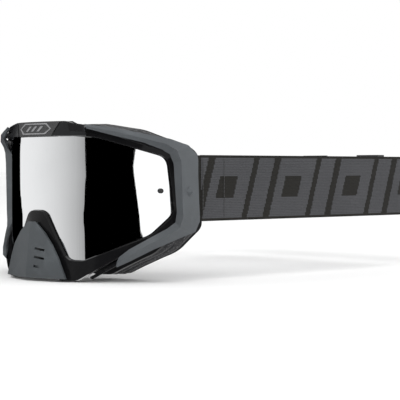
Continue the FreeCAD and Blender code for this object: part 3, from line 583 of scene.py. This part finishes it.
def thread(name, colour):
    """Bonded nylon sewing thread with its twist showing."""
    f = Finish(name, Roughness=0.55, Sheen_Weight=0.2)
    twist_relief_and_shade = f.add("ShaderNodeTexWave", {"Vector": f.place, "Scale": 900.0, "Distortion": 1.5},
                  bands_direction="DIAGONAL").outputs["Fac"]
    # Painted shade and highlight: the grooves of the twist darker, its ridges lighter.
    f.colour(f.mix(twist_relief_and_shade, shade(colour, 0.6), shade(colour, 1.3)))
    f.relief(f.bump(twist_relief_and_shade, 0.00008, 0.6))
    return f.material


def pale_floor(name):
    """A pale painted studio floor."""
    f = Finish(name, Roughness=0.8, Specular_IOR_Level=0.1)
    f.colour(f.mix(f.span(f.noise(3.0), 0.3, 0.7, 0.0, 1.0), (0.93, 0.93, 0.93), (0.95, 0.95, 0.95)))
    return f.material


def glow(name, low, high):
    """A light card whose brightness runs from one strength to another, late in its width."""
    f = Finish(name)
    f.tree.nodes.remove(f.shader)
    width = f.add("ShaderNodeSeparateXYZ", {0: f.add("ShaderNodeUVMap", uv_map="card").outputs[0]}).outputs[0]
    strength = f.span(f.math("POWER", width, 2.5), 0.0, 1.0, low, high)
    light = f.add("ShaderNodeEmission", {"Strength": strength})
    f.tree.links.new(light.outputs[0], f.tree.nodes["Material Output"].inputs[0])
    return f.material


# ------------ what a user may change

class GoggleSizes(bpy.types.PropertyGroup):
    lens_thickness: bpy.props.FloatProperty(
        name="Lens thickness", description="Thickness of the lens sheet", default=0.0016, unit="LENGTH")
    shell_wall: bpy.props.FloatProperty(
        name="Shell wall", description="Wall thickness of the side shells", default=0.002, unit="LENGTH")
    strap_width: bpy.props.FloatProperty(
        name="Strap width", description="Width of the strap webbing", unit="LENGTH",
        default=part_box("left_band")[1].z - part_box("left_band")[0].z)
    strap_thickness: bpy.props.FloatProperty(
        name="Strap thickness", description="Thickness of the strap webbing", default=0.0016, unit="LENGTH")
    stitch_length: bpy.props.FloatProperty(
        name="Stitch length", description="Length of one stitch", default=0.0026, unit="LENGTH")
    floor_gap: bpy.props.FloatProperty(
        name="Floor gap", description="Gap between the lowest point and the floor", default=0.0004,
        unit="LENGTH")


class GoggleColours(bpy.types.PropertyGroup):
    shell: bpy.props.FloatVectorProperty(
        name="Shell", description="Charcoal of the side shells", subtype="COLOR", size=3,
        default=(0.078, 0.0855, 0.0925))
    guard: bpy.props.FloatVectorProperty(
        name="Nose guard", description="Charcoal of the nose guard", subtype="COLOR", size=3,
        default=(0.060, 0.067, 0.0725))
    bezel: bpy.props.FloatVectorProperty(
        name="Bezel", description="Black of the lens bezel", subtype="COLOR", size=3,
        default=(0.006, 0.006, 0.0065))
    webbing_ground: bpy.props.FloatVectorProperty(
        name="Webbing ground", description="Dark ground of the strap", subtype="COLOR", size=3,
        default=(0.0125, 0.0115, 0.0093))
    webbing_block: bpy.props.FloatVectorProperty(
        name="Webbing blocks", description="Grey of the woven blocks", subtype="COLOR", size=3,
        default=(0.062, 0.063, 0.068))
    mirror: bpy.props.FloatVectorProperty(
        name="Mirror", description="Tint of the mirror coating", subtype="COLOR", size=3,
        default=(0.86, 0.87, 0.88))


def sizes():
    return bpy.context.scene.goggle_sizes


def colours():
    return bpy.context.scene.goggle_colours


FINISHES = {}


def once(name, make, *values):
    """A shared material, made the first time that it is asked for."""
    if name not in FINISHES:
        FINISHES[name] = make("made_" + name, *values)
    return FINISHES[name]


def need(value, message):
    """Stops the script when a piece can't be made."""
    if not value:
        raise RuntimeError(message)


# ------------ stage

CAMERA_AT, CAMERA_DIP, CAMERA_BEARING = (0.7134, -0.6159, 0.013), 1.366, 45.0
CARD_REACH, CARD_LOW, CARD_HIGH, CARD_ROWS, CARD_COLUMNS = 5.0, -3.0, 6.0, 24, 16
MIRRORED_LOW, MIRRORED_HIGH = -0.6, 0.4
DARK_EDGE, RIGHT_EDGE = [(0.0, -128.0)], [(0.0, 92.0)]
FAR_EDGE = [(-0.41, -75.0), (-0.25, -78.0), (-0.2, -79.5), (-0.08, -84.5), (0.04, -86.0), (0.17, -82.0)]
SILVER_EDGE = [(-0.41, 1.7), (-0.2, -0.9), (-0.02, 1.9), (0.17, 0.9)]
WHITE_EDGE = [(-0.41, 61.0), (-0.28, 51.5), (-0.12, 47.6), (0.02, 44.0), (0.17, 48.4)]


def card(name, left, right, low, high):
    """A curved upright card around the goggles, seen only in reflections. left and right give its
    two edges, each as (height, bearing) points in metres and degrees from straight ahead."""
    def bearing(edge, z):
        if z <= edge[0][0]:
            return edge[0][1]
        for (z0, a0), (z1, a1) in zip(edge, edge[1:]):
            if z <= z1:
                return a0 + (a1 - a0) * (z - z0) / (z1 - z0)
        return edge[-1][1]

    bm = bmesh.new()
    bmesh.ops.create_grid(bm, x_segments=CARD_COLUMNS, y_segments=CARD_ROWS, size=1.0)
    layer = bm.loops.layers.uv.new("card")
    for face in bm.faces:
        for loop in face.loops:
            loop[layer].uv = ((loop.vert.co.x + 1) / 2, (loop.vert.co.y + 1) / 2)
    for v in bm.verts:
        share, z = (v.co.y + 1) / 2, CARD_LOW if v.co.y < 0 else CARD_HIGH
        if abs(v.co.y) < 0.998:
            z = MIRRORED_LOW + (MIRRORED_HIGH - MIRRORED_LOW) * share
        turn = math.radians(bearing(left, z) + (bearing(right, z) - bearing(left, z)) * (v.co.x + 1) / 2)
        v.co = (CARD_REACH * math.sin(turn), -CARD_REACH * math.cos(turn), z)
    made = piece(name, bm, glow(name + "_light", low, high), outward=False)
    made.visible_camera = False
    made.visible_diffuse = False
    made.visible_shadow = False
    made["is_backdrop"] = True
    return made


def area_light(name, place, aim, power, width, height):
    """A soft rectangular light aimed at a point."""
    data = bpy.data.lights.new(name, "AREA")
    data.shape = "RECTANGLE"
    data.size, data.size_y = width, height
    data.energy = power
    made = bpy.data.objects.new(name, data)
    made.location = place
    made.rotation_euler = (Vector(aim) - Vector(place)).to_track_quat("-Z", "Y").to_euler()
    bpy.context.scene.collection.objects.link(made)


class GOGGLES_OT_stage(bpy.types.Operator):
    """Sets out the floor, the soft lights, the cards that the lens mirrors, and the camera"""
    bl_idname = "goggles.stage"
    bl_label = "Set the stage"

    def execute(self, context):
        scene = context.scene
        scene.view_settings.view_transform = "Standard"
        world = bpy.data.worlds.new("studio")
        scene.world = world
        world.use_nodes = True
        world.node_tree.nodes["Background"].inputs[0].default_value = (1.0, 1.0, 1.0, 1.0)
        world.node_tree.nodes["Background"].inputs[1].default_value = 1.0
        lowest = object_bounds()[0].z - sizes().floor_gap
        bm = bmesh.new()
        bmesh.ops.create_circle(bm, cap_ends=True, radius=30.0, segments=96)
        bmesh.ops.translate(bm, verts=bm.verts[:], vec=(0, 0, lowest))
        floor = piece("studio_floor", bm, once("pale_floor", pale_floor), outward=False)
        floor.visible_glossy = False
        floor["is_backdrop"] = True
        area_light("key", (0.5, -1.1, 1.5), (0, 0, 0), 9.0, 1.4, 1.0)
        area_light("rim", (1.3, 0.9, 0.9), (0.05, 0.0, 0.0), 5.0, 0.9, 0.9)
        card("silver_card", FAR_EDGE, SILVER_EDGE, 0.94, 0.40)
        card("dark_card", SILVER_EDGE, WHITE_EDGE, 0.0, 0.0)
        card("white_card", WHITE_EDGE, RIGHT_EDGE, 1.25, 1.25)
        card("far_dark_card", DARK_EDGE, FAR_EDGE, 0.0, 0.0)
        data = bpy.data.cameras.new("view")
        data.lens, data.sensor_width = 117.0, 36.0
        data.clip_start, data.clip_end = 0.01, 100.0
        camera = bpy.data.objects.new("view", data)
        camera.location = CAMERA_AT
        camera.rotation_euler = (math.radians(90.0 - CAMERA_DIP), 0.0, math.radians(CAMERA_BEARING))
        scene.collection.objects.link(camera)
        scene.camera = camera
        return {"FINISHED"}


# ------------ lens, bezel and face frame

class GOGGLES_OT_lens(bpy.types.Operator):
    """Bends the mirror-coated lens"""
    bl_idname = "goggles.lens"
    bl_label = "Lens"

    def execute(self, context):
        bm = flat_piece(bmesh.new(), [(x, z) for x, z, _ in outline(grown(OPENING, 1.5))])
        bent(bm, on_lens, 0.0)
        need(len(bm.faces) > 40, "the lens was not sliced into strips")
        face_out(bm)
        lens = piece("mirror_lens", bm, once("mirror_coating", mirror_coating, tuple(colours().mirror)),
                     outward=False)
        thicken(lens, sizes().lens_thickness / MM)
        stands_for(lens, "lens")
        return {"FINISHED"}


def face_out(bm):
    """Turns the faces of an open sheet away from the lens's axis."""
    for face in bm.faces:
        middle = face.calc_center_median()
        if face.normal.dot(middle - Vector((0, LENS_AXIS * MM, middle.z))) < 0:
            face.normal_flip()


class GOGGLES_OT_bezel(bpy.types.Operator):
    """Skins the gloss black ring around the lens"""
    bl_idname = "goggles.bezel"
    bl_label = "Lens bezel"

    def execute(self, context):
        inner, tuck = [0.3] * len(OPENING), grown(OPENING, 1.9)
        under = [-1.6] * len(OPENING)
        rows = [(OPENING, inner), (grown(OPENING, 0.7), BEZEL_LIP), (BEZEL_EDGE, BEZEL_RISE),
                (BEZEL_EDGE, under), (tuck, under), (tuck, inner)]
        rows = [[on_lens(*sample) for sample in outline(corners, lifts)] for corners, lifts in rows]
        bm = skin(bmesh.new(), rows, looped=True, closed=True)
        bezel = piece("gloss_bezel", bm, once("gloss_bezel", gloss_black, tuple(colours().bezel)))
        soften(bezel, 0.55, 3)
        stands_for(bezel, "lens_bezel")
        return {"FINISHED"}


class GOGGLES_OT_face_frame(bpy.types.Operator):
    """Finishes the black face frame"""
    bl_idname = "goggles.face_frame"
    bl_label = "Face frame"

    def execute(self, context):
        black = once("frame_plastic", moulded, (0.010, 0.010, 0.011), 0.42, 2600.0, 0.00004, 0.25)
        copy_of("face_frame", black, 0.3)
        return {"FINISHED"}


# ------------ side shells, nose guard, badge, brow

NUB_SPOT = [(108.2, -2.2, 11.7), (102.3, -2.2, 15.9), (108.2, 6.0, 11.7)]
RIB_ALONG, RIB_CORNERS = 64.0, [(35.2, 4.0), (37.3, 6.0), (39.2, 4.2), (39.2, -9.0), (35.2, -9.0)]


def shell_wall(word, side, finish):
    """A side shell, folded along its crease."""
    rows = []
    for row in (SHELL_LIP, SHELL_CREASE, SHELL_REAR):
        points = flowing([on_lens(*p) for p in row], 3)
        rows.append([Vector((side * p.x, p.y, p.z)) for p in points])
    bm = skin(bmesh.new(), rows)
    face_out(bm)
    bmesh.ops.recalc_face_normals(bm, faces=bm.faces[:])
    if sum(f.normal.x * side * f.calc_area() for f in bm.faces) < 0:
        bmesh.ops.reverse_faces(bm, faces=bm.faces[:])
    shell = piece(word + "_shell", bm, finish, outward=False, degrees=24.0)
    thicken(shell, sizes().shell_wall / MM)
    soften(shell, 0.7, 3, 24.0)
    stands_for(shell, word + "_side_shell")


def shell_nub(word, side, finish):
    """A small raised pyramid on the outside of a shell, square to its surface."""
    foot, ahead, above = (on_lens(*p) for p in NUB_SPOT)
    for point in (foot, ahead, above):
        point.x *= side
    lean = (ahead - foot).cross(above - foot).normalized()
    lean *= 1 if lean.x * side > 0 else -1
    bm = bmesh.new()
    nub = bmesh.ops.create_cone(bm, cap_ends=True, segments=4, radius1=0.0036, radius2=0.0004, depth=0.0032)
    bmesh.ops.rotate(bm, verts=nub["verts"], matrix=lean.to_track_quat("Z", "Y").to_matrix())
    bmesh.ops.translate(bm, verts=nub["verts"], vec=foot + lean * 0.0012)
    belongs(soften(piece(word + "_shell_nub", bm, finish), 0.25), word + "_side_shell")


def shell_rib(word, side, finish):
    """A stiffening rib across the inside of a shell, near its front."""
    bm = bmesh.new()
    points = [on_lens(RIB_ALONG, z, lift) for z, lift in RIB_CORNERS]
    bm.faces.new([bm.verts.new((side * p.x, p.y, p.z)) for p in points])
    belongs(thicken(piece(word + "_shell_rib", bm, finish), 1.4, 0.0), word + "_side_shell")


class GOGGLES_OT_side_shells(bpy.types.Operator):
    """Folds the charcoal side shells, with a nub outside and a rib inside each"""
    bl_idname = "goggles.side_shells"
    bl_label = "Side shells"

    def execute(self, context):
        charcoal = once("shell_plastic", moulded, tuple(colours().shell), 0.44)
        black = once("rib_plastic", moulded, (0.010, 0.010, 0.011), 0.5)
        for word, side in SIDES:
            shell_wall(word, side, charcoal)
            shell_nub(word, side, charcoal)
            shell_rib(word, side, black)
        return {"FINISHED"}


class GOGGLES_OT_nose_guard(bpy.types.Operator):
    """Finishes the slotted nose guard"""
    bl_idname = "goggles.nose_guard"
    bl_label = "Nose guard"

    def execute(self, context):
        charcoal = once("guard_plastic", moulded, tuple(colours().guard), 0.46)
        copy_of("nose_guard", charcoal, 0.45, 14.0, 3)
        return {"FINISHED"}


def on_brow(along, height, lift):
    """A point on the leaning surface of the brow, a lift off the undersides of its plates."""
    return on_lens(along, height, lift + BROW_RISE - BROW_LEAN * (height - BROW_MIDDLE))


def brow_plate(name, points, lift, thick, finish, round_by=0.35):
    """A plate bent to the brow's curve, from its flat outline."""
    bm = flat_piece(bmesh.new(), points)
    bent(bm, on_brow, lift + thick)
    face_out(bm)
    plate = piece(name, bm, finish, outward=False)
    thicken(plate, thick)
    return soften(plate, round_by)


def brow_ring(name, points, inner, lift, thick, finish):
    """A thin raised frame between an outline and one inside it, bent to the brow's curve."""
    rows = [[on_brow(x, z, lift) for x, z in points], [on_brow(x, z, lift + thick) for x, z in points],
            [on_brow(x, z, lift + thick) for x, z in inner], [on_brow(x, z, lift) for x, z in inner]]
    return piece(name, skin(bmesh.new(), rows, looped=True, closed=True), finish)


SET_IN = 0.15
EMBLEM = [(16.2, 40.5), (11.6, 44.3), (-11.6, 44.3), (-16.2, 40.5), (-11.6, 36.7), (11.6, 36.7)]
EMBLEM_MIDDLE, EMBLEM_BARS = 40.5, (-5.8, 0.0, 5.8)
FACET = [(29.0, 44.0), (39.6, 42.4), (41.2, 38.2), (31.0, 38.8)]


def divided(points, parts=6):
    """An outline with each of its sides cut into equal parts."""
    return [(a[0] + (b[0] - a[0]) * k / parts, a[1] + (b[1] - a[1]) * k / parts)
            for a, b in zip(points, points[1:] + points[:1]) for k in range(parts)]


class GOGGLES_OT_badge(bpy.types.Operator):
    """Bends the badge plate and raises its plain emblem"""
    bl_idname = "goggles.badge"
    bl_label = "Badge plate"

    def execute(self, context):
        grey = once("badge_plastic", badge_plastic, (0.046, 0.046, 0.047))
        stands_for(brow_plate("badge", BADGE, 0.0, BROW_THICK, grey), "badge_plate")
        pale = once("emblem_plastic", moulded, (0.20, 0.20, 0.205), 0.35)
        inner = [(x * 0.93, EMBLEM_MIDDLE + (z - EMBLEM_MIDDLE) * 0.78) for x, z in EMBLEM]
        base = BROW_THICK - SET_IN
        pieces = [brow_ring("emblem_ring", divided(EMBLEM), divided(inner), base, 0.45, pale)]
        for n, x in enumerate(EMBLEM_BARS):
            bar = [(x - 2.9, 38.7), (x - 0.5, 38.7), (x + 2.9, 42.3), (x + 0.5, 42.3)]
            pieces.append(brow_plate("emblem_bar_%d" % (n + 1), bar, base, 0.4, pale, 0.08))
        for made in pieces:
            belongs(made, "badge_plate")
        return {"FINISHED"}


class GOGGLES_OT_brow_panels(bpy.types.Operator):
    """Bends the dark brow panels beside the badge"""
    bl_idname = "goggles.brow_panels"
    bl_label = "Brow panels"

    def execute(self, context):
        dark = once("brow_plastic", gloss_black, (0.014, 0.0145, 0.0155), 0.2)
        facet = once("brow_facet", gloss_black, (0.008, 0.008, 0.0085), 0.07)
        for word, side in SIDES:
            points = [(side * x, z) for x, z in BROW_PANEL]
            panel = brow_plate(word + "_brow", points, 0.0, BROW_THICK, dark)
            stands_for(panel, word + "_brow_panel")
            inset = [(side * x, z) for x, z in FACET]
            raised = brow_plate(word + "_brow_facet", inset, BROW_THICK - SET_IN, 0.45, facet, 0.2)
            belongs(raised, word + "_brow_panel")
        return {"FINISHED"}


# ------------ foams and filters

def foam_ring(name, node, finish, low, high, crown):
    """A cut foam ring that follows the face, its walls slightly crowned and its corners rounded."""
    edge = min(1.1, (high - low) * 0.35)
    outer = [(-edge, low), (-edge * 0.25, low + edge * 0.35), (0.05, low + edge), (crown, (low + high) / 2),
             (0.05, high - edge), (-edge * 0.25, high - edge * 0.35), (-edge, high)]
    profile = [(CUSHION, by, lift) for by, lift in outer]
    profile += [(CAVITY, -by, lift) for by, lift in reversed(outer)]
    rows = [[on_face(x, z, lift) for x, z, _ in outline(grown(corners, by))] for corners, by, lift in profile]
    made = piece(name, skin(bmesh.new(), rows, looped=True, closed=True), finish, degrees=60.0)
    return stands_for(made, node)


class GOGGLES_OT_foams(bpy.types.Operator):
    """Lays up the three foam layers against the face"""
    bl_idname = "goggles.foams"
    bl_label = "Face foams"

    def execute(self, context):
        firm = once("firm_foam", foam, (0.05, 0.05, 0.054), 520.0, 0.0005)
        soft = once("soft_foam", foam, (0.07, 0.07, 0.074), 420.0, 0.0007)
        nap = once("fleece", fleece_cloth, (0.020, 0.020, 0.021))
        foam_ring("firm_foam_ring", "firm_foam_layer", firm, 8.8, 14.8, 0.25)
        foam_ring("soft_foam_ring", "soft_foam_layer", soft, 1.6, 8.6, 0.5)
        foam_ring("fleece_ring", "fleece_layer", nap, 0.0, 1.45, 0.15)
        return {"FINISHED"}


class GOGGLES_OT_filters(bpy.types.Operator):
    """Fits the open foam filters over the vents"""
    bl_idname = "goggles.filters"
    bl_label = "Vent filters"

    def execute(self, context):
        open_foam = once("filter_foam", foam, (0.022, 0.022, 0.024), 330.0, 0.0011, 0.1)
        for node in ("top_vent_filter", "left_vent_filter", "right_vent_filter"):
            made = copy_of(node, open_foam, 0.5, 30.0, 3)
        return {"FINISHED"}


# ------------ strap

def arc(centre, radius, start, end, steps):
    """Plan points around a centre, between two bearings in degrees."""
    return [(centre[0] + radius * math.cos(math.radians(start + (end - start) * k / steps)),
             centre[1] + radius * math.sin(math.radians(start + (end - start) * k / steps)))
            for k in range(steps + 1)]


def stretch(a, b, step=2.5):
    """Plan points along a straight run, without its last."""
    count = max(1, round(math.hypot(b[0] - a[0], b[1] - a[1]) / step))
    return [(a[0] + (b[0] - a[0]) * k / count, a[1] + (b[1] - a[1]) * k / count) for k in range(count)]


def band_path():
    """The middle line of the left band in plan, from the outrigger to its wrap round the joiner."""
    start = by_the_strap(BAND_OUT, BAND_START, 1)
    corner = arc(BAND_CORNER, CORNER_RADIUS, -5.0, 90.0, 20)
    wrap = arc(WRAP_CENTRE, WRAP_RADIUS, -90.0, -270.0, 16)
    end = (BAND_END, wrap[-1][1])
    return (stretch(start, corner[0]) + corner[:-1] + stretch(corner[-1], wrap[0]) + wrap[:-1]
            + stretch(wrap[-1], end) + [end])


def ribbon(name, path, width, thick, finish, start=0.0, rows=16):
    """A strip of webbing standing on edge along a plan path, with its cloth lengths in a UV map."""
    lengths, run = {}, start
    for n, p in enumerate(path):
        if n:
            run += math.hypot(p[0] - path[n - 1][0], p[1] - path[n - 1][1])
        lengths[round(p[0], 2), round(p[1], 2)] = run
    levels = [-width / 2 + width * k / rows for k in range(rows + 1)]
    bm = skin(bmesh.new(), [[Vector((x, y, z)) * MM for x, y in path] for z in levels])
    layer = bm.loops.layers.uv.new("weave")
    for face in bm.faces:
        for loop in face.loops:
            x, y, z = loop.vert.co / MM
            near = lengths.get((round(x, 2), round(y, 2)))
            if near is None:
                near = min(lengths.items(), key=lambda kv: abs(kv[0][0] - x) + abs(kv[0][1] - y))[1]
            loop[layer].uv = (near / 100.0, z / 100.0)
    bmesh.ops.recalc_face_normals(bm, faces=bm.faces[:])
    made = piece(name, bm, finish, outward=False, degrees=50.0)
    thicken(made, thick, 0.0)
    soften(made, 0.35, 2, 50.0)
    return made


def sided(path, side):
    """A plan path on the left, or its mirror image on the right."""
    return [(side * x, y) for x, y in path]


def strap_cloth():
    return once("webbing", webbing, tuple(colours().webbing_ground), tuple(colours().webbing_block))


class GOGGLES_OT_bands(bpy.types.Operator):
    """Runs the two bands of the strap back to the joiner"""
    bl_idname = "goggles.bands"
    bl_label = "Strap bands"

    def execute(self, context):
        for word, side in SIDES:
            width, thick = sizes().strap_width / MM, sizes().strap_thickness / MM
            band = ribbon(word + "_strap_band", sided(band_path(), side), width, thick, strap_cloth())
            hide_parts(word + "_band")
            bends_behind(band)
        return {"FINISHED"}


def turned_loop(inner, thick, arm):
    """The middle line of a strip folded round a bar: its two arms run back from the bar."""
    mid = inner + thick / 2
    return (stretch((mid, arm), (mid, 0.0), 1.2) + arc((0, 0), mid, 0.0, -180.0, 16)
            + stretch((-mid, 0), (-mid, arm), 1.2)[1:] + [(-mid, arm)])


class GOGGLES_OT_strap_ends(bpy.types.Operator):
    """Folds the strap ends round the outrigger bars and lays the sewn folds inside the bands"""
    bl_idname = "goggles.strap_ends"
    bl_label = "Strap ends"

    def execute(self, context):
        for word, side in SIDES:
            turned = turned_loop(LOOP_INNER, FOLD_THICK, 4.75)
            loop = [by_the_strap(out, LOOP_BACK + back, side) for out, back in turned]
            end = ribbon(word + "_strap_fold", loop, LOOP_WIDTH, FOLD_THICK, strap_cloth(), PLAIN_START)
            stands_for(end, word + "_strap_end")
            front, back = (by_the_strap(FOLD_OUT, place, side) for place in (FOLD_START, FOLD_END))
            fold = stretch(front, back) + [back]
            sewn = ribbon(word + "_sewn_fold", fold, FOLD_WIDTH, FOLD_THICK, strap_cloth(), PLAIN_START)
            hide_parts(word + "_stitched_fold")
            bends_behind(sewn)
        return {"FINISHED"}


class GOGGLES_OT_tails(bpy.types.Operator):
    """Folds the tail loops round the sliders and lays the tails back to the joiner"""
    bl_idname = "goggles.tails"
    bl_label = "Strap tails"

    def execute(self, context):
        for word, side in SIDES:
            low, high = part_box(word + "_tail_loop")
            middle_y = (low.y + high.y) / 2 / MM
            centre = (high.x if side > 0 else -low.x) / MM - 2.9
            turned = turned_loop(LOOP_INNER, FOLD_THICK, 4.4)
            loop = [(side * (centre - back), middle_y + out) for out, back in turned]
            made = ribbon(word + "_tail_fold", loop, TAIL_WIDTH, FOLD_THICK, strap_cloth(), 420.0)
            stands_for(made, word + "_tail_loop")
            low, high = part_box(word + "_tail")
            y = (low.y + high.y) / 2 / MM
            ends = sorted((abs(low.x), abs(high.x)))
            path = stretch((ends[0] / MM, y), (ends[1] / MM, y)) + [(ends[1] / MM, y)]
            path = sided(path, side)
            tail = ribbon(word + "_tail_webbing", path, TAIL_WIDTH, FOLD_THICK, strap_cloth(), 380.0)
            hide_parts(word + "_tail")
            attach(tail, "goggle")
            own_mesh(tail)
        return {"FINISHED"}


class GOGGLES_OT_hardware(bpy.types.Operator):
    """Finishes the outriggers, pins, joiner, sliders and tear-off posts"""
    bl_idname = "goggles.hardware"
    bl_label = "Hardware"

    def execute(self, context):
        nylon = once("black_nylon", moulded, (0.014, 0.014, 0.015), 0.38, 2200.0, 0.00005, 0.3)
        acetal = once("black_acetal", moulded, (0.018, 0.018, 0.019), 0.3, 2200.0, 0.00003, 0.3, 0.2)
        post = once("post_nylon", moulded, (0.035, 0.035, 0.036), 0.34, 2200.0, 0.00003, 0.2)
        steel = once("pin_steel", bright_steel)
        for node in ("strap_joiner", "left_slider", "right_slider"):
            copy_of(node, acetal, 0.3)
        for word in ("left", "right"):
            copy_of(word + "_outrigger", nylon, 0.3)
            copy_of(word + "_outrigger_pin", steel, 0.25)
            copy_of(word + "_tear_off_post", post, 0.2)
        return {"FINISHED"}


SEAM_FRONT, SEAM_BACK, SEAM_HALF = 14.0, 33.0, 20.0
ROWS_ACROSS = [((back, -SEAM_HALF), (back, SEAM_HALF)) for back in (SEAM_FRONT, SEAM_BACK)]
BOX_AND_CROSS = [((SEAM_FRONT, start * SEAM_HALF), (SEAM_BACK, end * SEAM_HALF))
                 for start, end in ((-1, -1), (1, 1), (-1, 1), (1, -1))]
SEAMS = [("outer", 2.93, ROWS_ACROSS), ("inner", -0.24, ROWS_ACROSS + BOX_AND_CROSS)]


def stitch(bm, a, b):
    """One stitch: a short tube between two points."""
    made = bmesh.ops.create_cone(bm, cap_ends=True, segments=6, radius1=0.00032, radius2=0.00032,
                                 depth=(b - a).length * 0.82)
    turn = (b - a).to_track_quat("Z", "Y").to_matrix()
    bmesh.ops.rotate(bm, verts=made["verts"], matrix=turn)
    bmesh.ops.translate(bm, verts=made["verts"], vec=(a + b) / 2)


class GOGGLES_OT_stitching(bpy.types.Operator):
    """Sews the bands to the folds behind the outriggers"""
    bl_idname = "goggles.stitching"
    bl_label = "Stitching"

    def execute(self, context):
        dark = once("sewing_thread", thread, (0.03, 0.03, 0.032))
        for word, side in SIDES:
            for tag, out, lines in SEAMS:
                bm = bmesh.new()
                for (back_a, z_a), (back_b, z_b) in lines:
                    count = round(math.hypot(back_b - back_a, z_b - z_a) / (sizes().stitch_length / MM))
                    points = []
                    for k in range(count + 1):
                        share = k / count
                        x, y = by_the_strap(out, back_a + (back_b - back_a) * share, side)
                        points.append(Vector((x, y, z_a + (z_b - z_a) * share)) * MM)
                    for a, b in zip(points, points[1:]):
                        stitch(bm, a, b)
                seam = piece("%s_%s_stitches" % (word, tag), bm, dark, degrees=50.0)
                bends_behind(seam)
        return {"FINISHED"}


# ------------ panel and registration

class GOGGLES_PT_panel(bpy.types.Panel):
    """Lists the goggles' pieces and the values that a user may change"""
    bl_idname = "GOGGLES_PT_panel"
    bl_label = "Goggles"
    bl_space_type = "VIEW_3D"
    bl_region_type = "UI"
    bl_category = "Goggles"

    def draw(self, context):
        for group in (context.scene.goggle_sizes, context.scene.goggle_colours):
            for key in group.bl_rna.properties.keys():
                if key not in ("rna_type", "name"):
                    self.layout.prop(group, key)
        for step in STEPS:
            self.layout.operator("goggles." + step)


CLASSES = [GoggleSizes, GoggleColours, GOGGLES_OT_stage, GOGGLES_OT_lens, GOGGLES_OT_bezel,
           GOGGLES_OT_face_frame, GOGGLES_OT_side_shells, GOGGLES_OT_nose_guard, GOGGLES_OT_badge,
           GOGGLES_OT_brow_panels, GOGGLES_OT_foams, GOGGLES_OT_filters, GOGGLES_OT_bands,
           GOGGLES_OT_strap_ends, GOGGLES_OT_tails, GOGGLES_OT_hardware, GOGGLES_OT_stitching,
           GOGGLES_PT_panel]
STEPS = [cls.bl_idname.split(".")[1] for cls in CLASSES if issubclass(cls, bpy.types.Operator)]


def register():
    for cls in CLASSES:
        bpy.utils.register_class(cls)
    bpy.types.Scene.goggle_sizes = bpy.props.PointerProperty(type=GoggleSizes)
    bpy.types.Scene.goggle_colours = bpy.props.PointerProperty(type=GoggleColours)


def unregister():
    del bpy.types.Scene.goggle_colours
    del bpy.types.Scene.goggle_sizes
    for cls in reversed(CLASSES):
        bpy.utils.unregister_class(cls)


def main():
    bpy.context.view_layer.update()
    register()
    for step in STEPS:
        getattr(bpy.ops.goggles, step)()
    bpy.context.view_layer.update()


if __name__ == "__main__":
    main()
